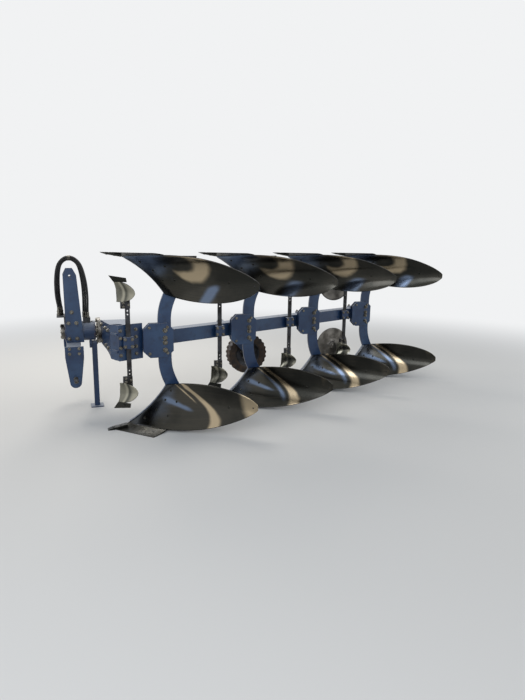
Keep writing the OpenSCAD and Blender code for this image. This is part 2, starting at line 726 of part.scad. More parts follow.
wheel_y = -wheel_off;
pivot_x = -pivot_back;
pin_r = 20;
arm_t = 24;
arm_y = wheel_y + wheel_w / 2 + arm_t + 4;
wheel_x = pivot_x - arm_l * cos(arm_a);
wheel_z = mid_z - arm_l * sin(arm_a);
module wheel_bracket() {
    half = 60;
    tube_r = 38;
    block = 40;
    x0 = pivot_x - half;
    x1 = pivot_x + half;
    y1 = beam_side(x0, -1) - block;
    y2 = arm_y + arm_t / 2 + 2;
    color(blue) placed() difference() {
        union() {
            level_plate([[x0, beam_side(x0, -1) - gap], [x1, beam_side(x1, -1) - gap], [x1, y1], [x0, y1]],
                mid_z, beam_s * 0.8);
            translate([pivot_x, y2, mid_z]) along_y(y1 - y2 + past, tube_r, 48);
        }
        translate([pivot_x, y2 - past, mid_z]) along_y(half + past, pin_r + fit, 32);
    }
}
module wheel_arm() {
    side = -arm_t / 2;
    eye_r = 44;
    arm_w = 64;
    axle_l = wheel_w / 2 + 40;
    color(blue) placed() translate([pivot_x, arm_y, mid_z]) rotate([0, -arm_a, 0]) {
        translate([0, side, 0]) along_y(arm_t, eye_r, 48);
        translate([-arm_l, side, -arm_w / 2]) cube([arm_l, arm_t, arm_w]);
        translate([-arm_l, side, 0]) along_y(arm_t, eye_r - 4, 48);
        translate([0, -side, 0]) along_y(eye_r + 11, pin_r, 32);
        translate([-arm_l, side - axle_l, 0]) along_y(axle_l, pin_r, 32);
    }
}
module at_wheel() {
    placed() translate([wheel_x, wheel_y, wheel_z]) rotate([90, 0, 0]) children();
}
rim_r = wheel_r * 0.62;
module wheel_rim() {
    disc = 12;
    wall = 8;
    hub_w = 90;
    color(worn) at_wheel() difference() {
        union() {
            cylinder(h = disc, r = rim_r, center = true, $fn = 64);
            cylinder(h = hub_w, r = 2 * pin_r, center = true, $fn = 48);
            difference() {
                cylinder(h = wheel_w * 0.8, r = rim_r, center = true, $fn = 64);
                cylinder(h = wheel_w, r = rim_r - wall, center = true, $fn = 64);
            }
        }
        cylinder(h = wheel_w, r = pin_r + fit, center = true, $fn = 32);
    }
}
// The tyre's section bulges from the rim to a flat tread with round shoulders
module wheel_tyre() {
    half = wheel_w / 2;
    deep = wheel_r - rim_r;
    right = [for (w = [-70:20:70])
        [wheel_r - deep / 2 + deep / 2 * sin(w) / sin(70), half * (0.8 + 0.2 * cos(w))]];
    tread = 0.62;
    flank = [for (p = right) [p[0], p[0] > wheel_r - deep * 0.08 ? p[1] * tread / 0.86 : p[1]]];
    n = len(flank) - 1;
    color(rubber) at_wheel() rotate_extrude($fn = 64)
        polygon(concat(flank, [for (k = [n:-1:0]) [flank[k][0], -flank[k][1]]]));
}

disc_x = -(last * pitch_x) - 100;
disc_y = -(last * pitch_y) - 55;
hub_l = 60;
axle_r = 18;
stem_x = disc_x + disc_r + 55;
stem_y = beam_side(stem_x, -1) - 30;
knee_z = disc_z + 75;
module coulter_arms() {
    t = 14;
    w = 44;
    boss_r = 34;
    knee_r = 26;
    clamp = 45;
    side_y = disc_y - hub_l / 2 - 3;
    x0 = stem_x - clamp;
    x1 = stem_x + clamp;
    dx = disc_x - stem_x;
    dz = disc_z - knee_z;
    color(blue) placed() {
        translate([stem_x, stem_y, knee_z]) cylinder(h = tip_height - 2 * knee_z, r = axle_r, $fn = 32);
        for (up = [false, true]) turned(up) {
            translate([stem_x, side_y - t, knee_z]) along_y(stem_y - side_y + t + knee_r - 2, knee_r, 32);
            translate([stem_x, side_y - t + past, knee_z]) rotate([0, -atan2(dz, dx), 0])
                translate([0, 0, -w / 2]) cube([norm([dx, dz]), t - 2 * past, w]);
            translate([disc_x, side_y - t, disc_z]) along_y(t, boss_r, 32);
            translate([disc_x, side_y - past, disc_z]) along_y(hub_l, axle_r, 32);
        }
        level_plate([[x0, beam_side(x0, -1) - gap], [x1, beam_side(x1, -1) - gap], [x1, stem_y - 30],
            [x0, stem_y - 30]], mid_z, beam_s * 0.8);
    }
}
module coulter_disc(up) {
    color(steel) placed() turned(up) translate([disc_x, disc_y, disc_z]) rotate([90, 0, 0]) difference() {
        union() {
            cylinder(h = disc_t, r = disc_r, center = true, $fn = 96);
            cylinder(h = hub_l, r = 45, center = true, $fn = 48);
        }
        cylinder(h = 2 * hub_l, r = axle_r + fit, center = true, $fn = 32);
    }
}

headstock();
hitch_frame();
bearing_housing();
hitch_pins();
hose_rack();
hoses();
turnover_cylinder();
stand_bracket();
stand_leg();
roll_shaft();
front_console();
console_brace();
main_beam();
for (i = [0:last]) {
    bracket(i);
    leg(i, false);
    leg(i, true);
    share(i, false);
    share(i, true);
    moldboard(i, false);
    moldboard(i, true);
    skimmer(i);
}
wheel_bracket();
wheel_arm();
wheel_rim();
wheel_tyre();
coulter_arms();
coulter_disc(false);  // coulter_disc_low
coulter_disc(true);  // coulter_disc_up
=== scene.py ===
import bpy
import json
import math
import numpy as np
from mathutils import Matrix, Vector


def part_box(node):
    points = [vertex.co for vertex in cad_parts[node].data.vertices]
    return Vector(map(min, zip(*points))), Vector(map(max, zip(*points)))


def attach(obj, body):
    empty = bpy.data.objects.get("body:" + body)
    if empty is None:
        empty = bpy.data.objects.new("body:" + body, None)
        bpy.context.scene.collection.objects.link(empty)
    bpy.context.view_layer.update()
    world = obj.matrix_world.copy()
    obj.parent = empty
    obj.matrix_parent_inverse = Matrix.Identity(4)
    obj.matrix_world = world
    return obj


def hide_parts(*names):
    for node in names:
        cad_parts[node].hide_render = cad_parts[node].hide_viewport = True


# Four-furrow reversible plough: finishes, smooth steelwork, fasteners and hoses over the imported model
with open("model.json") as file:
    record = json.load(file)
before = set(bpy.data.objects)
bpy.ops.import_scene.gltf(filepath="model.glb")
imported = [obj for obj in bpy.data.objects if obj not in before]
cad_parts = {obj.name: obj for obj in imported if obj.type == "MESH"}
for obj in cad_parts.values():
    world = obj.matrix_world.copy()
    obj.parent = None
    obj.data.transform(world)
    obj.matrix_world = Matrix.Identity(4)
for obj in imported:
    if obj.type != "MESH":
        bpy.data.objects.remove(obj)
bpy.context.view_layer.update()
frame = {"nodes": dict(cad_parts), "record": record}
nodes = frame["nodes"]
nodeSlot = {part["node"]: part["material_slot"] for part in frame["record"]["subparts"]}
print("frame loaded:", len(nodes), "nodes")

# Places are metres. A body's own frame has its share point at the origin and its landside plane at y = 0
touch = 0.0003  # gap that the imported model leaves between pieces
firstShare, lastShare = (np.array(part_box(name)) for name in ("share_low_1", "share_low_4"))
pairs = 4
datum = np.array([firstShare[1, 0], firstShare[0, 1] - touch, 0.0])
pitch = (firstShare[1] - lastShare[1]) * (1, 1, 0) / (pairs - 1)
tipHeight = float(np.array(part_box("share_up_1"))[1, 2])
midHeight = tipHeight / 2
housing = np.array(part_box("bearing_housing"))
rollY = float(housing[:, 1].mean())
beamTurn = math.atan2(pitch[1], pitch[0])


# Camera
cameraFit = {
    "fromTip": (0.368, 4.873, 1.718),  # m from the first share point on the ground
    "turn": 158.351,  # degrees round Z from +Y
    "dip": 11.358,  # degrees under the horizon
    "roll": -0.857,  # degrees
    "focalPixels": 518.75,
    "imageHeight": 700,
    "sensor": 36.0,  # mm along the image's long side
}


def makeCamera(fit):
    turn, dip, roll = (math.radians(fit[key]) for key in ("turn", "dip", "roll"))
    flat = np.array([-math.sin(turn), math.cos(turn), 0.0])
    right = np.array([math.cos(turn), math.sin(turn), 0.0])
    ahead = flat * math.cos(dip) - np.array([0, 0, math.sin(dip)])
    up = np.cross(right, ahead)
    across = right * math.cos(roll) - up * math.sin(roll)
    upright = right * math.sin(roll) + up * math.cos(roll)
    data = bpy.data.cameras.new("camera")
    data.sensor_width = fit["sensor"]
    data.lens = fit["focalPixels"] / fit["imageHeight"] * fit["sensor"]
    camera = bpy.data.objects.new("camera", data)
    bpy.context.scene.collection.objects.link(camera)
    matrix = np.eye(4)
    matrix[:3, 0], matrix[:3, 1], matrix[:3, 2] = across, upright, -ahead
    matrix[:3, 3] = datum + np.array(fit["fromTip"])
    camera.matrix_world = Matrix(matrix.tolist())
    bpy.context.scene.camera = camera


makeCamera(cameraFit)
print("camera placed")


# Colours and shader nodes
def toLinear(hexColour):
    parts = np.array([int(hexColour[k:k + 2], 16) for k in (1, 3, 5)]) / 255
    linear = np.where(parts <= 0.04045, parts / 12.92, ((parts + 0.055) / 1.055) ** 2.4)
    return (*linear.tolist(), 1.0)


def addNode(tree, kind, inputs=None, output=0, **settings):
    # One node with its settings and links: an input is a socket, a hex colour or a value
    node = tree.nodes.new("ShaderNode" + kind)
    for key, value in settings.items():
        setattr(node, key, value)
    for key, value in (inputs or {}).items():
        if isinstance(value, bpy.types.NodeSocket):
            tree.links.new(value, node.inputs[key])
        else:
            node.inputs[key].default_value = toLinear(value) if isinstance(value, str) else value
    return node.outputs[output] if node.outputs else None


def newMaterial(name):
    material = bpy.data.materials.new(name)
    material.use_nodes = True
    material.node_tree.nodes.clear()
    return material, material.node_tree


def noiseMask(tree, place, size, low, high, detail=4.0):
    # A mask from 0 to 1 with patches about size millimetres wide, which begin at low and are full at high
    noise = addNode(tree, "TexNoise", {"Vector": place, "Scale": 1000 / size, "Detail": detail,
                                       "Roughness": 0.55})
    return addNode(tree, "MapRange", {"Value": noise, "From Min": low, "From Max": high},
                   interpolation_type="SMOOTHSTEP")


def noiseMasks(tree, place, spec, names):
    return [noiseMask(tree, place, *spec[name + "Patch"]) for name in names]


def edgeMask(tree, radius, low, high):
    # 0 on flats and 1 at corners: how far the normal rounded over the corner turns from the true one
    rounded = addNode(tree, "Bevel", {"Radius": radius}, samples=4)
    true = addNode(tree, "NewGeometry", output="True Normal")
    dot = addNode(tree, "VectorMath", {0: rounded, 1: true}, "Value", operation="DOT_PRODUCT")
    return addNode(tree, "MapRange", {"Value": dot, "From Min": high, "From Max": low})


def dustAndTopHighlightMask(tree, patches, low, high):
    # Dust, and a painted highlight of the lit tops, lies where a face looks up, in patches
    normal = addNode(tree, "NewGeometry", output="Normal")
    upwards = addNode(tree, "SeparateXYZ", {0: normal}, "Z")
    upwards = addNode(tree, "MapRange", {"Value": upwards, "From Min": low, "From Max": high})
    return addNode(tree, "Math", {0: upwards, 1: patches}, operation="MULTIPLY", use_clamp=True)


def coat(tree, under, over, mask, share=1.0):
    # One colour over another where the mask says so, at most by the share
    mask = addNode(tree, "Math", {0: mask, 1: share}, operation="MULTIPLY")
    return addNode(tree, "Mix", {0: mask, 6: under, 7: over}, 2, data_type="RGBA")


def finishSurface(tree, surface, bump):
    # Principled surface from its own inputs and those of its bump
    shader = addNode(tree, "BsdfPrincipled", {**surface, "Normal": addNode(tree, "Bump", bump)})
    addNode(tree, "OutputMaterial", {"Surface": shader})


# Blue alkyd enamel, sprayed on steel plate and years in the sun: soft gloss, chalky patches, chipped corners
enamel = {
    "fresh": "#1c3354", "faded": "#2d4767", "deep": "#15253e", "primer": "#5d4a3e", "rust": "#4a3225",
    # Pale blue-white where faces look up: dust, and a painted highlight of the lit tops
    "dustAndTopHighlight": "#b9bec5",
    # Patches: size in millimetres, then the noise's levels where they begin and are full, and its detail
    "fadePatch": (260, 0.35, 0.7), "stainPatch": (60, 0.5, 0.72, 6.0), "chipPatch": (9, 0.46, 0.57, 5.0),
    "spotPatch": (27, 0.69, 0.71, 6.0), "rustPatch": (20, 0.4, 0.6), "dustAndTopHighlightPatch": (40, -0.6, 0.75, 6.0),
    "stainShare": 0.55, "dustAndTopHighlightShare": 0.62, "dustAndTopHighlightSlopes": (0.3, 0.95), "chipRadius": 0.004,
    "chipTurns": (0.93, 0.995), "cornerRadius": 0.003,
    # Orange peel: waves in millimetres, coarse enough to show, with their depth in metres
    "rough": (0.34, 0.8), "peelSize": 3.0, "peelStrength": 0.12, "peelDeep": 0.001,
}


def makeBluePaint(spec):
    material, tree = newMaterial("weatheredBlueEnamel")
    place = addNode(tree, "TexCoord", output="Object")
    fade, stain, chips, spots, rusty, dustAndHighlightPatches = noiseMasks(
        tree, place, spec, ("fade", "stain", "chip", "spot", "rust", "dustAndTopHighlight"))
    colour = coat(tree, spec["fresh"], spec["faded"], fade)
    colour = coat(tree, colour, spec["deep"], stain, spec["stainShare"])
    worn = addNode(tree, "Math", {0: edgeMask(tree, spec["chipRadius"], *spec["chipTurns"]), 1: chips},
                   operation="MULTIPLY", use_clamp=True)
    worn = addNode(tree, "Math", {0: worn, 1: spots}, operation="MAXIMUM")
    colour = coat(tree, colour, coat(tree, spec["primer"], spec["rust"], rusty), worn)
    # Dust and painted top highlight on faces that look up
    dustAndTopHighlight = dustAndTopHighlightMask(tree, dustAndHighlightPatches, *spec["dustAndTopHighlightSlopes"])
    colour = coat(tree, colour, spec["dustAndTopHighlight"], dustAndTopHighlight, spec["dustAndTopHighlightShare"])
    matt = addNode(tree, "Math", {0: dustAndTopHighlight, 1: worn}, operation="MAXIMUM")
    smooth, dull = spec["rough"]
    rough = addNode(tree, "MapRange", {"Value": matt, "To Min": smooth, "To Max": dull})
    peel = addNode(tree, "TexNoise", {"Vector": place, "Scale": 1000 / spec["peelSize"], "Detail": 2.0})
    finishSurface(tree, {"Base Color": colour, "Roughness": rough, "IOR": 1.5},
                  {"Height": peel, "Strength": spec["peelStrength"], "Distance": spec["peelDeep"],
                   "Normal": addNode(tree, "Bevel", {"Radius": spec["cornerRadius"]}, samples=4)})
    return material


# Carbon steel plate scoured by soil: dark and mirror-like, with painted reflections on it: pale bands of
# sunlit ground, bluish runs of sky, and a dark base that stands for the shaded surroundings it mirrors.
# Streaks and patches are in millimetres, and the streaks are drawn coarse enough to show
boardSteel = {
    # pale is a painted reflection of sunlit ground and also the colour of the polish streaks; the bluish tone
    # is a painted reflection of the sky
    "dark": "#3f3e3a", "olive": "#2c2d2b", "pale": "#b4a489", "blue": "#66758c", "soil": "#5c4d3d",
    "streakLong": 900, "streakWide": 2.4, "hazePatch": (420, 0.35, 0.68, 5.0),
    "soilPatch": (14, 0.72, 0.78, 6.0), "soilShare": 0.7, "wobblePatch": (150, 0.2, 0.8, 3.0), "wobble": 0.12,
    "paleLevels": (0.25, 0.85), "paleShare": 0.92, "blueLevels": (0.1, 0.95), "blueShare": 0.85,
    "scratchLevels": (0.5, 0.75), "scratchShare": 0.1, "smooth": 0.13, "dull": 0.3, "bump": 0.06,
    "bumpDeep": 0.002,
}
# Skimmer steel does less work, so it is greyer and duller
skimmerSteel = dict(boardSteel, dark="#565751", olive="#3f403b", pale="#a5a293", smooth=0.2, dull=0.4)


def makePolishedSteel(name, spec):
    material, tree = newMaterial(name)
    flow = addNode(tree, "UVMap", uv_map="flow")  # metres along and across
    # Weights of the painted reflections: X for pale sunlit ground, Y for sky
    weights = addNode(tree, "UVMap", uv_map="reflectionBands")  # pale and blue weights
    place = addNode(tree, "TexCoord", output="Object")
    stretch = (1000 / spec["streakLong"], 1000 / spec["streakWide"], 0.0)
    stretched = addNode(tree, "VectorMath", {0: flow, 1: stretch}, operation="MULTIPLY")
    streaks = addNode(tree, "TexNoise", {"Vector": stretched, "Scale": 1.0, "Detail": 5.0, "Roughness": 0.65})
    haze, wobble, spots = noiseMasks(tree, place, spec, ("haze", "wobble", "soil"))
    wobble = addNode(tree, "MapRange", {"Value": wobble, "To Min": -spec["wobble"], "To Max": spec["wobble"]})
    colour = coat(tree, spec["dark"], spec["olive"], haze)
    # Painted reflections laid over the base: pale sunlit ground, then bluish sky
    for axis, tone in (("X", "pale"), ("Y", "blue")):
        weight = addNode(tree, "SeparateXYZ", {0: weights}, axis)
        weight = addNode(tree, "Math", {0: weight, 1: wobble}, operation="ADD")
        low, high = spec[tone + "Levels"]
        mask = addNode(tree, "MapRange", {"Value": weight, "From Min": low, "From Max": high},
                       interpolation_type="SMOOTHSTEP")
        colour = coat(tree, colour, spec[tone], mask, spec[tone + "Share"])
    low, high = spec["scratchLevels"]
    scratch = addNode(tree, "MapRange", {"Value": streaks, "From Min": low, "From Max": high})
    colour = coat(tree, colour, spec["pale"], scratch, spec["scratchShare"])
    colour = coat(tree, colour, spec["soil"], spots, spec["soilShare"])
    matt = addNode(tree, "Math", {0: haze, 1: streaks}, operation="MULTIPLY")
    matt = addNode(tree, "Math", {0: matt, 1: spots}, operation="MAXIMUM")
    rough = addNode(tree, "MapRange", {"Value": matt, "To Min": spec["smooth"], "To Max": spec["dull"]})
    finishSurface(tree, {"Base Color": colour, "Roughness": rough, "Metallic": 1.0},
                  {"Height": streaks, "Strength": spec["bump"], "Distance": spec["bumpDeep"]})
    return material


# Plain metals, rubbers and paints differ in tone, grit and gloss, so one recipe takes their values.
# Columns: slot, two tones, patches and grit in mm, metallic, roughness, bump and how much dust and painted
# top highlight they hold
plainColumns = ("slot", "tones", "patch", "grit", "metallic", "rough", "bump", "dustAndTopHighlight")
plainFinishes = {
    # Share steel ground smooth by stones, as dark as the boards but duller
    "scouredShareSteel": ("polished_steel", ("#33332f", "#232421"), 160, 14, 1.0, (0.24, 0.42), 0.02, 0.06),
    # Disc steel, bright and scratched by the soil
    "workedDiscSteel": ("disc_steel", ("#7b7873", "#55524d"), 90, 4, 1.0, (0.3, 0.55), 0.1, 0.25),
    # Rolled plate, never scoured: brown, flat and rough
    "rustedPlateBack": ("polished_steel", ("#3b342c", "#292725"), 320, 6, 0.4, (0.5, 0.85), 0.2, 0.3),
    # Forgings with scale and dried mud on them: dark and half matt
    "dirtyForgedSteel": ("worn_steel", ("#3b3d42", "#24221f"), 70, 5, 0.5, (0.42, 0.8), 0.25, 0.4),
    # Turned pins with old grease: bright with brown smears
    "greasedBareSteel": ("bare_steel", ("#85827c", "#3a3733"), 50, 3, 1.0, (0.25, 0.5), 0.08, 0.2),
    # Zinc on bolts, gone grey: light points on the blue
    "zincPlatedBolt": ("bare_steel", ("#8b887f", "#4f4a42"), 12, 2, 1.0, (0.28, 0.6), 0.1, 0.3),
    # Black enamel of the valve and rack, satin and dusty
    "satinBlackPaint": ("dark_paint", ("#2b2d31", "#171819"), 80, 3, 0.0, (0.4, 0.6), 0.15, 0.35),
    # Hose rubber with the braid's marks: black with a soft shine
    "braidedHoseRubber": ("hose_rubber", ("#1c1c1d", "#0e0e0f"), 30, 2, 0.0, (0.45, 0.7), 0.08, 0.15),
    # Tyre rubber with dried soil: matt, black to brown
    "dustyTyreRubber": ("tyre_rubber", ("#211d1b", "#4a3c31"), 60, 3, 0.0, (0.75, 0.95), 0.3, 0.4),
}


# What the plain finishes share: the patches' levels, the dust with its painted top highlight, the grit's
# depth and the corners' rounding
plainBase = {"levels": (0.3, 0.7, 6.0), "dustAndTopHighlightPatch": (40, 0.3, 0.8), "dustAndTopHighlightSlopes": (0.2, 0.95),
             "gritDeep": 0.001, "cornerRadius": 0.002}


def makePlainFinish(name, spec, base=plainBase):
    material, tree = newMaterial(name)
    place = addNode(tree, "TexCoord", output="Object")
    patches = noiseMask(tree, place, spec["patch"], *base["levels"])
    # Dust and painted top highlight where faces look up
    dustAndTopHighlight = dustAndTopHighlightMask(tree, noiseMask(tree, place, *base["dustAndTopHighlightPatch"]), *base["dustAndTopHighlightSlopes"])
    colour = coat(tree, *spec["tones"], patches)
    colour = coat(tree, colour, enamel["dustAndTopHighlight"], dustAndTopHighlight, spec["dustAndTopHighlight"])
    smooth, dull = spec["rough"]
    rough = addNode(tree, "MapRange", {"Value": patches, "To Min": smooth, "To Max": dull})
    grit = addNode(tree, "TexNoise", {"Vector": place, "Scale": 1000 / spec["grit"], "Detail": 3.0})
    finishSurface(tree, {"Base Color": colour, "Roughness": rough, "Metallic": spec["metallic"]},
                  {"Height": grit, "Strength": spec["bump"], "Distance": base["gritDeep"],
                   "Normal": addNode(tree, "Bevel", {"Radius": base["cornerRadius"]}, samples=4)})
    return material


finishes = {"weatheredBlueEnamel": makeBluePaint(enamel)}
for finishName, spec, slot in (("soilPolishedSteelPaintedReflections", boardSteel, "polished_steel"),
                               ("scouredSkimmerSteelPaintedReflections", skimmerSteel, "worn_steel")):
    finishes[finishName] = makePolishedSteel(finishName, spec)
nodeFinish = {"blue_paint": "weatheredBlueEnamel"}
for finishName, row in plainFinishes.items():
    spec = dict(zip(plainColumns, row))
    finishes[finishName] = makePlainFinish(finishName, spec)
    nodeFinish.setdefault(spec["slot"], finishName)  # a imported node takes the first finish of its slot
for nodeName, nodeObject in nodes.items():
    nodeObject.data.materials.clear()
    nodeObject.data.materials.append(finishes[nodeFinish[nodeSlot[nodeName]]])
print("finishes made:", len(finishes))


# Shapes are (points, faces) pairs. Points are arrays, faces are lists of indices
def unitRows(v):
    return v / np.linalg.norm(v, axis=-1, keepdims=True)


def gridFaces(rows, columns, closeRows=False, closeColumns=False):
    # Quads between neighbouring rows and columns of an index grid
    r = np.arange(rows if closeRows else rows - 1)[:, None]
    c = np.arange(columns if closeColumns else columns - 1)[None, :]
    rNext, cNext = (r + 1) % rows, (c + 1) % columns
    quads = np.stack([r * columns + c, r * columns + cNext, rNext * columns + cNext, rNext * columns + c], -1)
    return quads.reshape(-1, 4).tolist()


def loopFaces(rows, columns):  # both ways round
    return gridFaces(rows, columns, closeRows=True, closeColumns=True)


def joinShapes(shapes):
    points, faces, start = [], [], 0
    for shapePoints, shapeFaces in shapes:
        flat = np.asarray(shapePoints).reshape(-1, 3)
        points.append(flat)
        faces += [[k + start for k in face] for face in shapeFaces]
        start += len(flat)
    return np.concatenate(points), faces


def basisFor(axis):
    # Columns are two directions across the axis and the axis itself
    w = unitRows(np.array(axis, float))
    hint = np.array([0.0, 0.0, 1.0]) if abs(w[2]) < 0.95 else np.array([1.0, 0.0, 0.0])
    u = unitRows(np.cross(hint, w))
    return np.stack([u, np.cross(w, u), w], 1)


def capped(rows, columns):  # a tube's quads with a face over each end
    return gridFaces(rows, columns, closeColumns=True) + [
        list(range(columns))[::-1], list(range((rows - 1) * columns, rows * columns))]


def outward(shape):
    # Turns all faces round if the signed volume, the sum of fans of tetrahedra, says that they look inwards
    points, faces = np.asarray(shape[0]).reshape(-1, 3), shape[1]
    fans = np.array([(face[0], face[k], face[k + 1]) for face in faces for k in range(1, len(face) - 1)])
    a, b, c = (points[fans[:, k]] - points[0] for k in range(3))
    volume = np.einsum("ij,ij->i", a, np.cross(b, c)).sum()
    return points, [face[::-1] for face in faces] if volume < 0 else faces


def lathe(profile, place, axis, sides=48, ring=False):
    # Turns rows of (radius, height) round the axis: x = r cos a, y = r sin a, z = h.
    # A ring's profile closes on itself
    profile = np.array(profile, float)
    turn = np.linspace(0, 2 * np.pi, sides, endpoint=False) + np.pi / sides
    r, h = profile[:, :1], np.repeat(profile[:, 1:], sides, axis=1)
    points = np.stack([r * np.cos(turn), r * np.sin(turn), h], -1) @ basisFor(axis).T + np.array(place)
    return outward((points, loopFaces(len(profile), sides) if ring else capped(len(profile), sides)))


def circle(radius, sides):
    turn = np.linspace(0, 2 * np.pi, sides, endpoint=False)
    return np.stack([radius * np.cos(turn), radius * np.sin(turn)], -1)


def sweep(path, section, scale=1.0):
    # Carries a closed section along a path, on a frame that turns as little as it can from step to step
    path, section = np.array(path, float), np.array(section, float)
    tangents = unitRows(np.gradient(path, axis=0))
    sides = [basisFor(tangents[0])[:, 0]]
    for tangent in tangents[1:]:
        sides.append(unitRows(sides[-1] - tangent * (sides[-1] @ tangent)))
    sides = np.array(sides)
    ups = np.cross(tangents, sides)
    grow = scale * np.ones(len(path))
    offsets = section[None, :, :1] * sides[:, None] + section[None, :, 1:] * ups[:, None]
    return outward((path[:, None] + offsets * grow[:, None, None], capped(len(path), len(section))))


def prism(outline, place, across, upwards, thickness):
    # An outline in the plane of two directions, given a thickness towards their cross product
    outline = np.array(outline, float)
    u, v = np.array(across, float), np.array(upwards, float)
    flat = outline[:, :1] * u + outline[:, 1:] * v + np.array(place)
    return outward((np.stack([flat, flat + np.cross(u, v) * thickness]), capped(2, len(outline))))


def box(low, high):
    (x0, y0, z0), (x1, y1, z1) = low, high
    return prism([(x0, y0), (x1, y0), (x1, y1), (x0, y1)], (0, 0, z0), (1, 0, 0), (0, 1, 0), z1 - z0)


def hexBolts(places, axis, flats, stub=0.0):
    # Washer, six-sided head with a chamfered top, and a stub of thread where it is a nut. All sizes but the
    # stub's length follow the width across flats
    high, corner = flats * 0.62, flats / math.sqrt(3)
    parts = [([(flats * 0.66, 0), (flats * 0.66, flats * 0.1)], 20),
             ([(corner, 0), (corner, high * 0.82), (corner * 0.88, high)], 6)]
    if stub:
        end = high + stub
        parts.append(([(flats * 0.3, 0), (flats * 0.3, end), (flats * 0.24, end + 0.002)], 12))
    return [lathe(profile, place, axis, sides) for place in places for profile, sides in parts]


def ringPlaces(centre, radius, count, first=0, across=0):
    # Even places on a circle across the X axis, or across Y with 1, the first one at an angle in degrees
    turn = np.radians(first + np.arange(count) * 360 / count)
    flat = np.stack([np.cos(turn), np.sin(turn)], -1) * radius
    return np.array(centre) + np.insert(flat, across, 0, axis=1)


def weldBead(path, radius=0.004, ripple=0.006):
    # Round bead whose radius swells at every ripple: r (1 + 0.14 sin(2 pi s / ripple))
    path = np.array(path, float)
    lengths = np.concatenate([[0], np.cumsum(np.linalg.norm(np.diff(path, axis=0), axis=1))])
    count = int(lengths[-1] / ripple * 4) + 2
    s = np.linspace(0, lengths[-1], count)
    fine = np.stack([np.interp(s, lengths, path[:, k]) for k in range(3)], -1)
    return sweep(fine, circle(radius, 8), 1 + 0.14 * np.sin(2 * np.pi * s / ripple))


def smoothRoute(points, steps):
    # Catmull-Rom curve through the points
    p = np.array(points, float)
    p = np.concatenate([[2 * p[0] - p[1]], p, [2 * p[-1] - p[-2]]])
    t = np.linspace(0, 1, steps, endpoint=False)[:, None]
    parts = [0.5 * (2 * b + (c - a) * t + (2 * a - 5 * b + 4 * c - d) * t ** 2
                    + (3 * b - a - 3 * c + d) * t ** 3)
             for a, b, c, d in zip(p[:-3], p[1:-2], p[2:-1], p[3:])]
    return np.concatenate([*parts, p[-2:-1]])


def bezier(control, t):
    # Cubic Bezier: the four control points weighted by the binomials of t and 1 - t
    t = np.asarray(t, float)[..., None]
    p = np.array(control, float)
    return p[0] * (1 - t) ** 3 + p[1] * 3 * t * (1 - t) ** 2 + p[2] * 3 * t ** 2 * (1 - t) + p[3] * t ** 3


def atPair(shape, index, isUpper):
    # Moves a shape from the first body's own frame to a pair, turned over at an upper body
    points, faces = shape
    placed = np.array(points, float)
    if isUpper:
        placed[..., 2] = tipHeight - placed[..., 2]
        faces = [face[::-1] for face in faces]
    return placed + datum - index * pitch, faces


def makePiece(name, shape, finish, body, smooth=True, uvs=None, bevel=0.0, replaced=(), rear=None):
    # rear gives a second finish and the marks of the faces that have it
    points, faces = shape
    mesh = bpy.data.meshes.new(name)
    mesh.from_pydata(np.asarray(points).reshape(-1, 3).tolist(), [], faces)
    mesh.polygons.foreach_set("use_smooth", np.full(len(mesh.polygons), smooth))
    for layerName, uv in (uvs or {}).items():
        corners = np.zeros(len(mesh.loops), np.int32)
        mesh.loops.foreach_get("vertex_index", corners)
        layer = mesh.uv_layers.new(name=layerName)
        layer.data.foreach_set("uv", uv.reshape(-1, 2)[corners].ravel())
    mesh.materials.append(finishes[finish])
    if rear:
        mesh.materials.append(finishes[rear[0]])
        mesh.polygons.foreach_set("material_index", np.asarray(rear[1], np.int32))
    mesh.update()
    piece = bpy.data.objects.new(name, mesh)
    bpy.context.scene.collection.objects.link(piece)
    if bevel:
        rounding = piece.modifiers.new("bevel", "BEVEL")
        rounding.width, rounding.segments = bevel, 2
        rounding.limit_method, rounding.angle_limit = "ANGLE", math.radians(35)
    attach(piece, body)
    if replaced:
        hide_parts(*replaced)
    return piece


def makeBolts(name, shapes, body):
    return makePiece(name, joinShapes(shapes), "zincPlatedBolt", body, smooth=False)


def levelName(isUpper):
    return "up" if isUpper else "low"


def framePiece(name, shape, place, finish, **settings):
    # A piece of the turning frame at a pair's index, on its upper or its lower body, or on neither with None
    index, isUpper = place
    level = "" if isUpper is None else levelName(isUpper).title()
    makePiece(f"{name}{level}{index + 1}", atPair(shape, index, isUpper), finish, "plough_frame", **settings)


def frameBolts(name, shapes, place):
    framePiece(name, joinShapes(shapes), place, "zincPlatedBolt", smooth=False)


# Curved boards: two edge curves and a hollow between them, as in the part's source
board = {
    "reach": 1.258, "side": 0.686, "rise": 0.452, "thick": 0.009, "belly": 0.046, "shinSag": 0.034,
    "shinBack": 0.19, "shinFoot": 0.042, "tailHeight": 0.084, "along": 96, "across": 44,
    "tailFrom": 0.86, "tailKeep": 0.5,
}
board["shinY"] = board["thick"] * 0.65
board["tailZ"] = board["rise"] * 0.61
board["low"] = [[-board["shinBack"], board["shinY"], board["shinFoot"]],
                [-board["reach"] * 0.502, board["side"] * 0.612, 0],
                [-board["reach"] * 0.736, board["side"] * 0.7, board["shinFoot"] / 2],
                [-board["reach"], board["side"], board["tailZ"] - board["tailHeight"] / 2]]
board["top"] = [[-board["reach"] * 0.452, board["shinY"], board["rise"] * 0.854],
                [-board["reach"] * 0.585, board["side"] * 0.312, board["rise"]],
                [-board["reach"] * 0.811, board["side"] * 0.818, board["rise"] * 1.084],
                [-board["reach"], board["side"], board["tailZ"] + board["tailHeight"] / 2]]

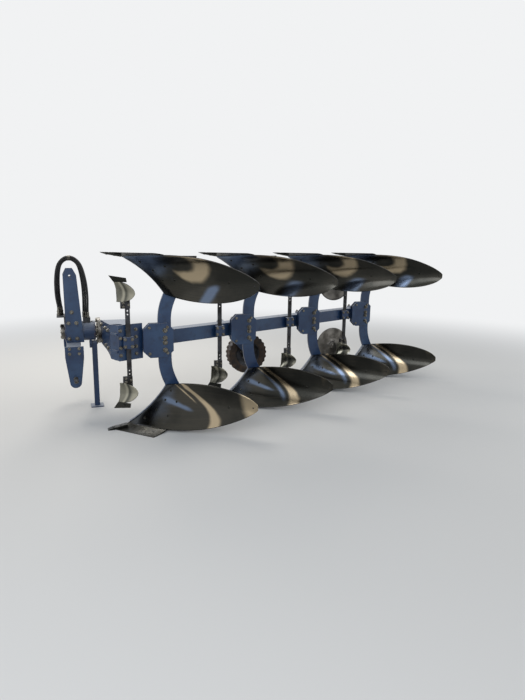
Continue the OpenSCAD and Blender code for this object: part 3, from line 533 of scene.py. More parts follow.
# Skimmer's own little board, share and holder, under its stem
skimmer = {
    "back": 0.217, "side": 0.112, "tipZ": 0.205, "stemT": 0.022, "stemW": 0.042, "holderH": 0.07,
    "holderL": 0.086, "thick": 0.007, "belly": 0.014, "shinSag": 0.012, "tailFrom": 0.6, "tailKeep": 0.35,
    "along": 40, "across": 30, "clamp": 0.048, "clampHalf": 0.056, "clampT": 0.014, "grip": 0.004,
    "holeR": 0.0075, "holeFirst": 0.09, "holePitch": 0.034,
}
skimmer["foot"] = skimmer["tipZ"] + 0.058
skimmer["holderZ"] = skimmer["tipZ"] + 0.23
skimmer["low"] = [[-0.106, 0, skimmer["foot"]], [-0.15, skimmer["side"] * 0.3, skimmer["foot"] - 0.004],
                  [-0.192, skimmer["side"] * 0.78, skimmer["foot"]],
                  [-0.264, skimmer["side"], skimmer["foot"] + 0.054]]
skimmer["top"] = [[-0.124, 0, skimmer["holderZ"] + 0.008],
                  [-0.172, skimmer["side"] * 0.3, skimmer["holderZ"] + 0.014],
                  [-0.226, skimmer["side"] * 0.72, skimmer["holderZ"]],
                  [-0.28, skimmer["side"], skimmer["holderZ"] - 0.048]]


def backDirection(spec, u):
    # Straight back at the shin, square to the board behind it, blended over the first quarter
    chord = bezier(spec["top"], u) - bezier(spec["low"], u)
    ahead, behind = np.clip(u + 0.05, 0, 1), np.clip(u - 0.05, 0, 1)
    drift = (bezier(spec["low"], ahead) + bezier(spec["top"], ahead)
             - bezier(spec["low"], behind) - bezier(spec["top"], behind))
    level = unitRows(np.stack([-chord[..., 2], chord[..., 1] * 0, chord[..., 0]], -1))
    square = unitRows(np.cross(chord, drift))
    share = np.clip(4 * u, 0, 1)[..., None]
    return unitRows(level * (1 - share) + square * share)


def boardFace(spec, u, v):
    # P(u, v) = low(u) + v (top(u) - low(u)) + 4 v (1 - v) sag(u) back(u)
    low, top = bezier(spec["low"], u), bezier(spec["top"], u)
    sag = spec["shinSag"] * (1 - u) + spec["belly"] * np.sin(np.pi * u)
    return low + (top - low) * v[..., None] + backDirection(spec, u) * (4 * v * (1 - v) * sag)[..., None]


def boardNormal(spec, u, v):
    # Unit normal on the soil's side: the cross product of the two tangents
    d = 0.02
    u, v = np.clip(u, d, 1 - d), np.clip(v, d, 1 - d)
    return unitRows(np.cross(boardFace(spec, u + d, v) - boardFace(spec, u - d, v),
                             boardFace(spec, u, v + d) - boardFace(spec, u, v - d)))


def boardPoint(u, v):  # one point of the large board's face, with its normal
    u, v = np.array([u]), np.array([v])
    return boardFace(board, u, v)[0], boardNormal(board, u, v)[0]


def roundedTail(spec, u, v):
    # The tail's corners are rounded by drawing v towards the middle over the last stretch of u
    late = np.clip((u - spec["tailFrom"]) / (1 - spec["tailFrom"]), 0, 1)
    width = 1 - (1 - spec["tailKeep"]) * (1 - np.sqrt(np.clip(1 - late ** 3, 0, 1)))
    return 0.5 + (v - 0.5) * width


def boardSheet(spec):
    # Front and rear grids of one thickness, joined round the rim as the columns of one closed loop
    u, v = np.meshgrid(np.linspace(0, 1, spec["along"]), np.linspace(0, 1, spec["across"]), indexing="ij")
    v = roundedTail(spec, u, v)
    front = boardFace(spec, u, v)
    rear = front - boardNormal(spec, u, v) * spec["thick"]
    points = np.concatenate([front, rear[:, ::-1]], axis=1)
    both = [np.concatenate([a, a[:, ::-1]], axis=1) for a in (u, v)]
    return *outward((points, capped(spec["along"], 2 * spec["across"]))), both[0], both[1]


def rearFaces(spec):
    # Marks of the faces in boardSheet's order: the columns past the front grid, and not the two end rims
    column = np.tile(np.arange(2 * spec["across"]), spec["along"] - 1)
    return np.concatenate([column >= spec["across"], [False, False]])


def bell(x, width):
    return np.exp(-(x / width) ** 2)


# Painted reflections in shares of the board's length and height: pale ones of sunlit ground, bluish ones of
# sky.
# Each blob has its weight, place along, lean, width, place up and height
everywhere = math.inf
reflectionBands = {
    "ring": {"centre": (0.36, 0.16), "radii": (0.17, 0.4), "middle": 0.86, "width": 0.34, "swell": 0.16,
             "opening": (2.7, 1.1), "faces": 0.3},
    "upperPale": ((0.5, 0.3, 0, 0.12, 0, 0.09), (0.55, 0.03, 0.07, 0.006, 0.5, 0.13),
                  (0.55, 0.065, 0.07, 0.006, 0.38, 0.13), (0.55, 0.1, 0.07, 0.006, 0.28, 0.13)),
    "upperSkyReflection": ((0.75, 0.1, 0, 0.13, 0.2, 0.42),),
    "lowerPale": ((0.4, 0.27, 0, 0.05, 0.93, 0.09),),
    "lowerSkyReflection": ((0.34, 0.05, 0, 0.16, 0, everywhere),),
    # Width of the upper painted sky reflection, and weights of the lower tail's painted reflection and of the
    # bluish one inside the S
    "first": (0.055, 0.9, 0.0), "others": (0.075, 0.3, 0.75),
}


def blobs(u, v, rows):
    return sum(weight * bell(u - along - lean * v, width) * bell(v - up, height)
               for weight, along, lean, width, up, height in rows)


def fadeIn(x, rate):
    return np.clip(x * rate, 0, 1)


def upperReflections(u, v, spread):
    # Painted reflections: a pale ring of sunlit ground open to the shin, thin pale runs beside the shin,
    # and bluish runs of sky across the top and along the foot
    ring = reflectionBands["ring"]
    du, dv = ((x - middle) / radius for x, middle, radius in zip((u, v), ring["centre"], ring["radii"]))
    turn = np.arctan2(dv, du)
    full, rate = ring["opening"]
    pale = bell(np.hypot(du, dv) - ring["middle"], ring["width"] + ring["swell"] * np.cos(turn))
    pale = pale * np.clip(full - rate * np.abs(turn - ring["faces"]), 0, 1)
    blue = 1.2 * bell(u - 0.58 + 0.35 * (v - 0.65), spread) * fadeIn(v - 0.55, 6)
    blue = blue + 0.5 * bell(v, 0.06) * fadeIn(1 / 3 - u, 9)
    return pale + blobs(u, v, reflectionBands["upperPale"]), blue + blobs(u, v, reflectionBands["upperSkyReflection"])


def lowerReflections(u, v, tail, inner):
    # Painted reflections: a pale S from the shin's top to the share, a pale tail, and bluish runs of sky
    # across and inside the S
    middle = 0.2 + 0.43 * (1 - v ** 2.1)
    pale = bell(u - middle, 0.02 + 0.042 * (1 - v)) + tail * fadeIn(u - 0.74 - 0.12 * (1 - v), 9)
    pale = pale + 0.75 * bell(u - middle + 0.085, 0.014) * fadeIn(v - 0.5, 5)
    blue = bell(v - 0.76 + 0.85 * u, 0.045) * fadeIn(0.2 - np.abs(u - 0.23), 9)
    blue = blue + inner * bell(u - middle + 0.1, 0.028) * fadeIn(0.44 - np.abs(v - 0.5), 5)
    return pale + blobs(u, v, reflectionBands["lowerPale"]), blue + blobs(u, v, reflectionBands["lowerSkyReflection"])


def reflectionWeights(u, v, index, isUpper):
    # Weights of one board's pale and sky painted reflections
    spread, tail, inner = reflectionBands["others" if index else "first"]
    bands = upperReflections(u, v, spread) if isUpper else lowerReflections(u, v, tail, inner)
    return np.clip(np.stack(bands, -1), 0, 1)


for pairIndex in range(pairs):
    for upper in (False, True):
        points, faces, u, v = boardSheet(board)
        framePiece("moldboard", (points, faces), (pairIndex, upper), "soilPolishedSteelPaintedReflections",
                   uvs={"flow": np.stack([u * board["reach"], v * board["rise"]], -1),
                        "reflectionBands": reflectionWeights(u, v, pairIndex, upper)},
                   replaced=[f"moldboard_{levelName(upper)}_{pairIndex + 1}"],
                   rear=("rustedPlateBack", rearFaces(board)))
print("moldboards made")


# Shares: a slanting blade whose upper edge meets the board, with a reversible point bar
share = {
    "width": 0.385, "thick": 0.011, "pointW": 0.062, "pointT": 0.022, "edgeT": 0.0015, "rake": 0.01,
    "dip": 0.004, "columns": 4, "boardColumns": 15, "seam": 0.0005, "along": 40, "down": 14, "nose": 0.06,
    "bladeBolts": (0.24, 0.5, 0.76), "boltUp": 0.64, "boltSag": 0.23, "pointBolts": (-0.055, -0.12),
}


def cuttingEdge(spec, s, gap):
    # From beside the point bar out to the wing, with s from 0 to 1
    inner = spec["pointW"] + gap
    return np.stack([-spec["pointW"] - spec["rake"] + s * (spec["pointW"] + 3 * spec["rake"] - spec["width"]),
                     inner + s * (spec["width"] - inner), np.full_like(s, spec["edgeT"])], -1)


def shareBlade(spec=share):
    # Ruled from the cutting edge to the board's lower edge with a dip: mix(cut, seam, t) - 4 t (1 - t) dip
    s = np.linspace(0, 1, spec["along"])
    u = s * spec["columns"] / spec["boardColumns"]
    zero = u * 0
    out = unitRows(boardFace(board, u, zero) - boardFace(board, u, zero + 0.08))
    seam = boardFace(board, u, zero) + out * spec["seam"]
    back = -boardNormal(board, u, zero)
    cut = cuttingEdge(spec, s, touch)
    t = np.linspace(0, 1, spec["down"])[None, :, None]
    front = cut[:, None] * (1 - t) + seam[:, None] * t - np.array([0, 0, 4 * spec["dip"]]) * t * (1 - t)
    under = np.array([-spec["rake"] / 2, 0, -spec["edgeT"]]) * (1 - t) + back[:, None] * spec["thick"] * t
    points = np.concatenate([front, (front + under)[:, ::-1]], axis=1)
    return outward((points, capped(spec["along"], 2 * spec["down"])))


def pointBar(spec=share):
    # Chisel in side view: sole, nose, and a top that rises to the shin's foot with a rounded heel
    length = board["shinBack"] - board["thick"]
    foot = board["shinFoot"]
    outline = [(0, 0), (-0.003, 0.004), (-spec["nose"] * 0.5, 0.015), (-spec["nose"] - spec["rake"], 0.0235),
               (-length * 0.7, foot * 0.8), (-length + 0.004, foot), (-length, foot - 0.004),
               (-length, foot - spec["pointT"]), (-spec["nose"], 0)]
    return prism(outline, (0, touch + spec["pointW"], 0), (1, 0, 0), (0, 0, 1), spec["pointW"])


def shareBolts(spec=share):
    # Countersunk plough bolts through the blade and the point bar, flush but for a shallow crown
    shapes = []
    for s in spec["bladeBolts"]:
        seam = boardPoint(s * spec["columns"] / spec["boardColumns"], 0.0)[0]
        cut = cuttingEdge(spec, np.array(s), 0.0)
        up = spec["boltUp"]
        place = cut * (1 - up) + seam * up - np.array([0, 0, 4 * spec["dip"] * spec["boltSag"]])
        slope = unitRows(np.cross(seam - cut, [0.7, -0.7, 0.0]))
        normal = slope if slope[2] > 0 else -slope
        shapes.append(lathe([(0.0125, -0.001), (0.0122, 0.0006), (0.006, 0.0014)], place, normal, 20))
    for x in spec["pointBolts"]:
        top = np.interp(-x, [0.06, 0.127], [0.0215, 0.0336])
        shapes.append(lathe([(0.011, -0.002), (0.0108, 0.0014), (0.006, 0.002)],
                            (x, touch + spec["pointW"] / 2, top), (0.17, 0, 1), 20))
    return shapes


def boardBolts():
    # Flush bolts that hold the board to the frog, and the stay's bolt near the tail
    crown = [(0.0115, -0.002), (0.0112, 0.0004), (0.005, 0.0009)]
    places = ((0.055, 0.18), (0.075, 0.42), (0.09, 0.66), (0.1, 0.86), (0.2, 0.3), (0.21, 0.62), (0.72, 0.5))
    return [lathe(crown, *boardPoint(u, v), 20) for u, v in places]


def tailHoleShade():
    # Unused bolt hole at the tail, drawn as a shallow dish with a black finish: painted shade in place of the
    # hole
    return lathe([(0.0075, -0.001), (0.0075, 0.0004)], *boardPoint(0.955, 0.5), 16)


# Legs: curved plate, frog behind the shin, landside and the stay to the board's back
leg = {
    "thick": 0.03, "wide": 0.125, "back": 0.562, "rake": 0.103, "foot": 0.3, "root": 0.014, "steps": 36,
    "sideT": 0.014, "sideH": 0.115, "heel": 0.89, "sideRise": 0.03, "stayR": 0.011,
    "bends": (0.78, 0.6, 0.5), "frogWide": 1.5, "sideSlope": 0.05, "sideLap": 0.001,
    "stayAt": (0.72, 0.5), "stayBack": 1.3,
    "landsideBolts": (-0.42, -0.52, -0.68, -0.82), "frogBolts": ((-0.6, 0.26), (-0.68, 0.22), (-0.66, 0.33)),
    "finishes": {"legPlate": "weatheredBlueEnamel", "frog": "weatheredBlueEnamel",
                 "landside": "scouredShareSteel"},
}


def legShapes(spec=leg):
    # Side plates lie in the XZ plane and are given their thickness towards -Y
    back, foot = -spec["back"], -spec["back"] - spec["rake"]
    bends = [midHeight * part for part in spec["bends"]]
    route = [*zip((back, back, back - spec["rake"] / 2), bends), (foot, spec["foot"])]
    line = bezier(route, np.linspace(0, 1, spec["steps"]))
    line = np.concatenate([[(back, midHeight - spec["root"])], line])
    run = unitRows(np.gradient(line, axis=0))
    side = np.stack([-run[:, 1], run[:, 0]], -1) * spec["wide"] / 2
    outline = np.concatenate([line + side, (line - side)[::-1]])
    shin = boardFace(board, np.zeros(9), np.linspace(0.04, 1, 9))[:, [0, 2]]
    low, top = spec["sideRise"], spec["sideRise"] + spec["sideH"]
    rear, front = back - spec["frogWide"] * spec["wide"], -board["shinBack"] - spec["wide"]
    slope, lap = spec["sideSlope"], spec["sideLap"]
    frog = [(-board["shinBack"] - spec["thick"], low), *shin.tolist(),
            (rear + spec["thick"], spec["foot"] + spec["thick"]), (rear, top), (rear, low)]
    landside = [(-spec["heel"], low), (front, low), (front - slope, top), (-spec["heel"] + slope, top),
                (-spec["heel"] + 0.0125, low + spec["sideH"] * 0.7)]
    flat = ((1, 0, 0), (0, 0, 1))
    inside = 2 * touch  # the leg lies a hair inside the frog's faces, which it passes through
    return [prism(outline, (0, -touch - inside, 0), *flat, spec["thick"] - 2 * inside),
            prism(frog, (0, -touch, 0), *flat, spec["thick"]),
            prism(landside, (0, lap - touch - spec["thick"], 0), *flat, spec["sideT"] + lap)]


def stayRod(spec=leg):
    # From the frog's rear to the back of the board, where its round end just touches
    face, normal = boardPoint(*spec["stayAt"])
    start = np.array([-spec["back"] - spec["stayBack"] * spec["wide"], -spec["thick"] / 2,
                      spec["sideRise"] + spec["sideH"]])
    end = face - normal * (board["thick"] + touch)
    slant = math.sqrt(1 - float(unitRows(end - start) @ normal) ** 2)
    end = end - normal * spec["stayR"] * slant
    return sweep(np.linspace(start, end, 12), circle(spec["stayR"], 20))


def legBolts(spec=leg):
    # Heads on the landside and the frog, outside the right-hand face
    outside = -touch - spec["thick"]
    middle = spec["sideRise"] + spec["sideH"] / 2
    return (hexBolts([(x, outside - spec["sideT"], middle) for x in spec["landsideBolts"]], (0, -1, 0), 0.022)
            + hexBolts([(x, outside, z) for x, z in spec["frogBolts"]], (0, -1, 0), 0.026, 0.006))


for pairIndex in range(pairs):
    for upper in (False, True):
        place = (pairIndex, upper)
        number = f"{levelName(upper)}_{pairIndex + 1}"
        framePiece("shareBlade", shareBlade(), place, "scouredShareSteel", replaced=["share_" + number])
        framePiece("pointBar", pointBar(), place, "scouredShareSteel", smooth=False, bevel=0.0015,
                   replaced=["share_" + number])
        framePiece("ploughBolts", joinShapes(shareBolts() + boardBolts()), place, "scouredShareSteel")
        # Black dish as painted shade in the tail's bolt hole
        framePiece("tailHoleShade", tailHoleShade(), place, "braidedHoseRubber")
        for (name, finish), shape in zip(leg["finishes"].items(), legShapes()):
            framePiece(name, shape, place, finish, smooth=False, bevel=0.0025, replaced=["leg_" + number])
        framePiece("stayRod", stayRod(), place, "weatheredBlueEnamel")
        frameBolts("frogBolts", legBolts(), place)
print("shares and legs made")


# Beam line and console in the first body's own frame, as in the part's source
beam = {
    "off": 0.185, "side": 0.14, "nose": 0.11, "bracketBack": 0.5, "cheek": 0.016, "consoleX": -0.032,
    "consoleHalf": 0.11, "plate": 0.015,
    # Bolts: along and across from the bracket's middle, or heights over the beam's
    "levelBolts": ((0.06, -0.075), (-0.06, -0.105), (0.055, -0.232), (-0.075, -0.222)),
    "legBolts": (-0.095, -0.022, 0.022, 0.095), "cornerBolts": (0.085, 0.125), "weldReach": 0.108,
    "cheekBolts": ((0.03, 0.1, 0.19), (-0.115, -0.045, 0.045, 0.115)),
    "curveBolts": ((0.1, 0.5, 0.78), (-0.085, 0.085)),
    "flangeRing": (0.118, 12, 15), "lockRing": (0.064, 6),  # radius, count and first angle
}
beamSlope = float(pitch[1] / pitch[0])
# The first pair's stem stands just clear of the console's cheek, and the others stand as far out
stemOff = (beam["cheek"] + 2 * touch) / math.cos(beamTurn) + skimmer["stemW"] / 2 * beamSlope + touch
localRollY = rollY - float(datum[1])
alongBeam = np.array([-math.cos(beamTurn), -math.sin(beamTurn), 0.0])
leftOfBeam = np.array([-math.sin(beamTurn), math.cos(beamTurn), 0.0])


def beamLeft(x):  # y of the beam's left face
    return -beam["off"] + (x + beam["bracketBack"]) * beamSlope + beam["side"] / 2 / math.cos(beamTurn)


def punchedBar(width, depth, bottom, top, holes, radius):
    # Upright flat bar with holes on its middle line: each cell runs from a hole's circle out to a rectangle
    cuts = [bottom, *[(a + b) / 2 for a, b in zip(holes, holes[1:])], top]
    shapes = []
    for middle, low, high in zip(holes, cuts, cuts[1:]):
        corners = [math.atan2(z - middle, x) for x in (-width / 2, width / 2) for z in (low, high)]
        even = np.linspace(-np.pi, np.pi, 20, endpoint=False) + 0.013  # off the axes, where reach is endless
        turn = np.sort(np.concatenate([even, corners]))
        ray = np.stack([np.cos(turn), np.sin(turn)], -1)
        tall = np.where(ray[:, 1] > 0, high - middle, middle - low)
        reach = np.minimum(width / 2 / np.abs(ray[:, 0]), tall / np.abs(ray[:, 1]))
        rings = [(reach, depth), (radius, depth), (radius, 0.0), (reach, 0.0)]
        points = np.stack([np.stack([ray[:, 0] * r, np.full(len(ray), y), ray[:, 1] * r + middle], -1)
                           for r, y in rings])
        shapes.append(outward((points, loopFaces(4, len(ray)))))
    return joinShapes(shapes)


# Skimmers: one bar through the clamp, with a holder, a small board and a share at each end
stemY = beamLeft(-skimmer["back"]) + stemOff


def skimmerStem(spec=skimmer):
    low, high = spec["holderZ"] + 0.001, tipHeight - spec["holderZ"] - 0.001
    steps = [spec["holeFirst"] + spec["holePitch"] * k for k in range(2)]
    holes = [low + step for step in steps] + [high - step for step in steps[::-1]]
    points, faces = punchedBar(spec["stemW"], spec["stemT"], low, high, holes, spec["holeR"])
    return points + np.array([-spec["back"], stemY, 0]), faces


def skimmerClamp(isFirst, spec=skimmer):
    # Seated on the beam, or on the console's cheek at the first pair, with its four bolts
    rear, front = -spec["back"] - spec["clamp"], -spec["back"] + spec["clamp"]
    seat = touch + ((beam["cheek"] + touch) / math.cos(beamTurn) if isFirst else 0)
    outside = stemY + spec["stemT"] + spec["clampT"]
    outline = [(rear, beamLeft(rear) + seat), (rear, outside), (front, outside),
               (front, beamLeft(front) + seat)]
    clamp = prism(outline, (0, 0, midHeight - spec["clampHalf"]), (1, 0, 0), (0, 1, 0), 2 * spec["clampHalf"])
    places = [(x, outside, midHeight + z) for x in (rear + 0.016, front - 0.016) for z in (-0.034, 0.034)]
    return clamp, hexBolts(places, (0, 1, 0), 0.024, 0.008)


def skimmerHolder(spec=skimmer):
    # Clasp round the stem's end and the narrower neck under it
    back = -spec["back"] - spec["stemW"] / 2 - spec["grip"]
    far, clasp = stemY + spec["stemT"], spec["holderZ"]
    return {"skimmerHolder": box((back, stemY - spec["grip"], clasp),
                                 (back + spec["holderL"], far + spec["grip"], clasp + spec["holderH"])),
            "skimmerNeck": box((back, stemY + spec["grip"], spec["foot"] + spec["holderH"]),
                               (back + 0.054, far + spec["grip"], clasp + spec["grip"]))}


def skimmerShare(spec=skimmer):
    # Flat blade between its point, its foot at the landside, its wing and its heel
    lean = np.array([-spec["thick"], 0.002, 0.0])
    front = np.array([[(-0.062, 0, spec["tipZ"]), (-0.105, 0, spec["foot"] + 0.002)],
                      [(-0.198, spec["side"] * 0.86, spec["tipZ"] + 0.018),
                       (-0.206, spec["side"] * 0.78, spec["foot"] - 0.001)]]) + (0, stemY, 0)
    return outward((np.concatenate([front, (front + lean)[:, ::-1]], axis=1), capped(2, 4)))


def skimmerBoard(spec=skimmer):
    # Painted reflections: pale along the tail and in one thin arc across the middle, grey between them
    points, faces, u, v = boardSheet(spec)
    bow = u + 0.5 * (v - 0.5) ** 2
    pale = 0.5 + 0.35 * np.clip((bow - 0.66) * 4, 0, 1)
    pale = pale + 0.4 * bell(bow - 0.42, 0.06) - 0.2 * bell(bow - 0.56, 0.07)
    uvs = {"flow": np.stack([u * 0.2, v * 0.2], -1), "reflectionBands": np.stack([pale, 0 * u], -1)}
    return (points + np.array([0, stemY, 0]), faces), uvs


def skimmerBolts(spec=skimmer):
    # Three nuts on the holder's left, two heads on the neck's right
    high = spec["holderZ"] + spec["holderH"] / 2
    nuts = [(-spec["back"] + x, stemY + spec["stemT"] + spec["grip"], high + z)
            for x, z in ((0.036, 0.018), (0.036, -0.018), (-0.012, 0.0))]
    heads = [(-spec["back"] + x, stemY + spec["grip"], high - z) for x, z in ((0.0, 0.07), (0.01, 0.1))]
    return hexBolts(nuts, (0, 1, 0), 0.019, 0.006) + hexBolts(heads, (0, -1, 0), 0.016)


for pairIndex in range(pairs):
    node = [f"skimmer_{pairIndex + 1}"]
    place = (pairIndex, None)
    framePiece("skimmerStem", skimmerStem(), place, "dirtyForgedSteel", smooth=False, bevel=0.0012,
               replaced=node)
    clamp, bolts = skimmerClamp(pairIndex == 0)
    framePiece("skimmerClamp", clamp, place, "weatheredBlueEnamel", smooth=False, bevel=0.003, replaced=node)
    frameBolts("skimmerClampBolts", bolts, place)
    for upper in (False, True):
        place = (pairIndex, upper)
        for name, shape in skimmerHolder().items():
            framePiece(name, shape, place, "dirtyForgedSteel", smooth=False, bevel=0.003, replaced=node)
        shape, uvs = skimmerBoard()
        framePiece("skimmerBoard", shape, place, "scouredSkimmerSteelPaintedReflections", uvs=uvs, replaced=node,
                   rear=("rustedPlateBack", rearFaces(skimmer)))
        framePiece("skimmerShare", skimmerShare(), place, "scouredShareSteel", smooth=False, bevel=0.001,
                   replaced=node)
        frameBolts("skimmerBolts", skimmerBolts(), place)
print("skimmers made")


# Fasteners and welds of the frame
def bracketBolts():
    # Through the leg and both side plates, through the level plates beside the beam, and at the corners
    left, right = beam["plate"], -leg["thick"] - 2 * touch - beam["plate"]
    middle = -beam["bracketBack"]
    shapes = []
    for y, side, stub in ((left, 1, 0.009), (right, -1, 0)):
        places = [(-leg["back"], y, midHeight + z) for z in beam["legBolts"]]
        shapes += hexBolts(places, (0, side, 0), 0.036, stub)
    for side in (-1, 1):
        level = midHeight + side * (beam["side"] / 2 + beam["plate"])
        places = [(middle + x, y, level) for x, y in beam["levelBolts"]]
        shapes += hexBolts(places, (0, 0, side), 0.027, 0.005)
    x, z = beam["cornerBolts"]
    corners = [(middle + across * x, left, midHeight + up * z) for across in (-1, 1) for up in (-1, 1)]
    return shapes + hexBolts(corners, (0, 1, 0), 0.022)


def bracketWelds():
    # Beads where the level plates meet the right side plate
    y = -leg["thick"] - 2 * touch - beam["plate"]
    reach = np.linspace(-beam["weldReach"], beam["weldReach"], 4)
    return joinShapes([weldBead([(x - beam["bracketBack"], y, midHeight + side * z) for x in reach])
                       for side in (-1, 1) for z in (beam["side"] / 2, beam["side"] / 2 + beam["plate"])])


def consoleBolts():
    # Rows of bolts along the cheek on the beam, and columns up the console's curve to the hub
    nose, half = -beam["nose"], beam["consoleHalf"]
    corner = np.array([nose, beamLeft(nose), midHeight]) + leftOfBeam * beam["cheek"]
    runs, heights = beam["cheekBolts"]
    places = [corner + alongBeam * run + (0, 0, z) for run in runs for z in heights]
    shapes = hexBolts(places, leftOfBeam, 0.026, 0.004)
    curve = [(beam["consoleX"], localRollY + half), (beam["consoleX"] - 0.015, localRollY + half * 3),
             (nose + 0.04, -2.6 * half), (nose + 0.045, -half / 2)]
    shares, heights = beam["curveBolts"]
    return shapes + hexBolts([(*bezier(curve, t), midHeight + z) for t in shares for z in heights],
                             (1, 0.09, 0), 0.03, 0.004)


def hubBolts():
    # Ring of bolts on the flange's front, and the ones of the shaft nut's lock plate in front of the bearing
    shaft = np.array(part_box("roll_shaft"))
    flange = ringPlaces((shaft[0, 0] + 0.03, rollY, midHeight), *beam["flangeRing"])
    lock = ringPlaces((shaft[1, 0] - 0.002, rollY, midHeight), *beam["lockRing"])
    return hexBolts(flange, (1, 0, 0), 0.022) + hexBolts(lock, (1, 0, 0), 0.013)


for pairIndex in range(pairs):
    frameBolts("bracketBolts", bracketBolts(), (pairIndex, None))
    framePiece("bracketWelds", bracketWelds(), (pairIndex, None), "weatheredBlueEnamel")
makeBolts("consoleBolts", [atPair(joinShapes(consoleBolts()), 0, False)], "plough_frame")
makeBolts("hubBolts", hubBolts(), "plough_frame")
print("frame fasteners made")


# Headstock: bearing end rings, tower bolts, lynch pins, cylinder ports
towerMid = float(np.array(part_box("hitch_frame"))[:, 0].mean())
housingR = float(housing[1, 1] - housing[0, 1]) / 2
head = {
    "plate": 0.016, "length": 0.125, "crossTop": midHeight - housingR - touch, "hitchFace": 0.358,
    "crossPin": 0.102, "linkZ": 0.4, "barrelR": 0.04, "barrelTop": 1.31, "lip": 0.006,
    "plateBolts": ((-0.04, 0.04), (0.035, 0.04), (-0.04, 0.2), (0.035, 0.2), (0.0, 0.31)),
    "hitchBolts": ((-0.045, -0.02), (-0.045, -0.07), (0.045, -0.02), (0.045, -0.07)),
    "collar": 0.018, "collarProud": 0.003, "nipples": (0.03, 0.27), "ringR": 0.021, "wireR": 0.002,
    "ringGap": 0.35, "ports": (0.02, 0.05),
}


def headstockBolts(spec=head):
    # Through the tower's plates over the cross tube, and through the hitch plates
    shapes = []
    for side in (-1, 1):
        outside = rollY + side * (housingR + touch + spec["plate"])
        shapes += hexBolts([(towerMid + x, outside, spec["crossTop"] + z) for x, z in spec["plateBolts"]],
                           (0, side, 0), 0.03, 0.005)
        shapes += hexBolts([(towerMid + x, rollY + side * spec["hitchFace"], midHeight - housingR + z)
                            for x, z in spec["hitchBolts"]], (0, side, 0), 0.024)
    return shapes


def lynchPins(spec=head):
    # Cross pin and spring ring near the end of each lower link pin
    shapes = []
    turn = np.linspace(spec["ringGap"], 2 * np.pi - spec["ringGap"], 36)
    wire = np.stack([np.sin(turn), 0 * turn, np.cos(turn)], -1) * spec["ringR"]
    for side in (-1, 1):
        end = rollY + side * (spec["hitchFace"] + touch + spec["crossPin"])
        place = (towerMid, end, spec["linkZ"])
        shapes.append(lathe([(0.004, -0.019), (0.004, 0.021)], place, (0, 0, 1), 12))
        shapes.append(sweep(wire + place, circle(spec["wireR"], 8)))
    return shapes


def cylinderParts(spec=head):
    # Gland nut with its groove, the head's eye, and a port boss with a fitting on each end of the barrel
    lip, top, upright = spec["barrelR"] + spec["lip"], spec["barrelTop"], (0, 0, 1)
    x = towerMid - spec["length"] / 2 + spec["plate"] + lip + 0.002
    gland = [(lip * 0.99, top - 0.0005), (lip * 0.9, top + 0.004), (lip * 0.5, top + 0.004)]
    eye = [(0.018, top + 0.003), (0.018, top + 0.02), (0.012, top + 0.026)]
    shapes = [lathe(gland, (x, rollY, 0), upright, 40), lathe(eye, (x, rollY, 0), upright, 24)]
    for z in (top - spec["ports"][0], midHeight + housingR + spec["ports"][1]):
        for start, radius, sides in ((0.0, 0.013, 20), (0.012, 0.0095, 6)):
            shapes.append(lathe([(radius, start), (radius, start + 0.016)], (x - lip + 0.001, rollY, z),
                                (-1, 0, 0), sides))
    return joinShapes(shapes)


def housingRings(spec=head):
    # Raised collars just inside the bearing's ends
    wide, low, high = spec["collar"], housingR - 0.004, housingR + spec["collarProud"]
    profile = [(low, 0), (high, 0.0015), (high, wide - 0.0015), (low, wide)]
    return joinShapes([lathe(profile, (x, rollY, midHeight), (1, 0, 0), 72)
                       for x in (housing[0, 0] + 0.0005, housing[1, 0] - wide - 0.0005)])


def greaseNipples(spec=head):
    profile = [(0.006, -0.001), (0.006, 0.004), (0.003, 0.007), (0.0038, 0.011), (0.0024, 0.015)]
    return joinShapes([lathe(profile, (housing[0, 0] + x, rollY + 0.03, midHeight + housingR * 0.955),
                             (0, 0.3, 0.954), 12) for x in spec["nipples"]])


makeBolts("headstockBolts", headstockBolts(), "headstock_body")
makePiece("lynchPins", joinShapes(lynchPins()), "zincPlatedBolt", "headstock_body")
makePiece("cylinderParts", cylinderParts(), "zincPlatedBolt", "headstock_body", smooth=False, bevel=0.0008)
makePiece("housingRings", housingRings(), "weatheredBlueEnamel", "headstock_body")
makePiece("greaseNipples", greaseNipples(), "zincPlatedBolt", "headstock_body")
print("headstock details made")

# Hydraulic hoses: the route's points are the part's own, from the tower's top, in metres
hose = {"radius": 0.0105, "sleeveR": 0.0122, "gapAcross": 0.0252, "fan": 0.14,
        "top": 1.465, "rackZ": midHeight + housingR + 0.06, "rackT": 0.012,
        "valveTop": midHeight + housingR + 0.042 + touch}
hoseRoute = [(-0.14, 0, hose["valveTop"] - hose["top"]), (-0.14, 0, -0.43), (-0.144, 0.004, -0.28),
             (-0.134, 0.01, -0.12), (-0.1, 0.016, 0.03), (-0.04, 0.02, 0.096), (0.03, 0.02, 0.098),
             (0.09, 0.018, 0.036), (0.116, 0.014, -0.09), (0.12, 0.008, -0.26), (0.106, 0.004, -0.4),
             (0.106, 0.004, hose["rackZ"] + hose["rackT"] + touch - hose["top"])]
# Radius and height of a crimped ferrule over its swivel nut, and of a quick coupling
ferrule = [(0.0128, 0.016), (0.0134, 0.019), (0.0134, 0.048), (0.0118, 0.054)]
coupling = [(0.0095, 0), (0.0175, 0.001), (0.0175, 0.02), (0.0155, 0.023), (0.0155, 0.034), (0.0175, 0.037),
            (0.0175, 0.046), (0.0132, 0.052), (0.0132, 0.08), (0.0112, 0.084)]


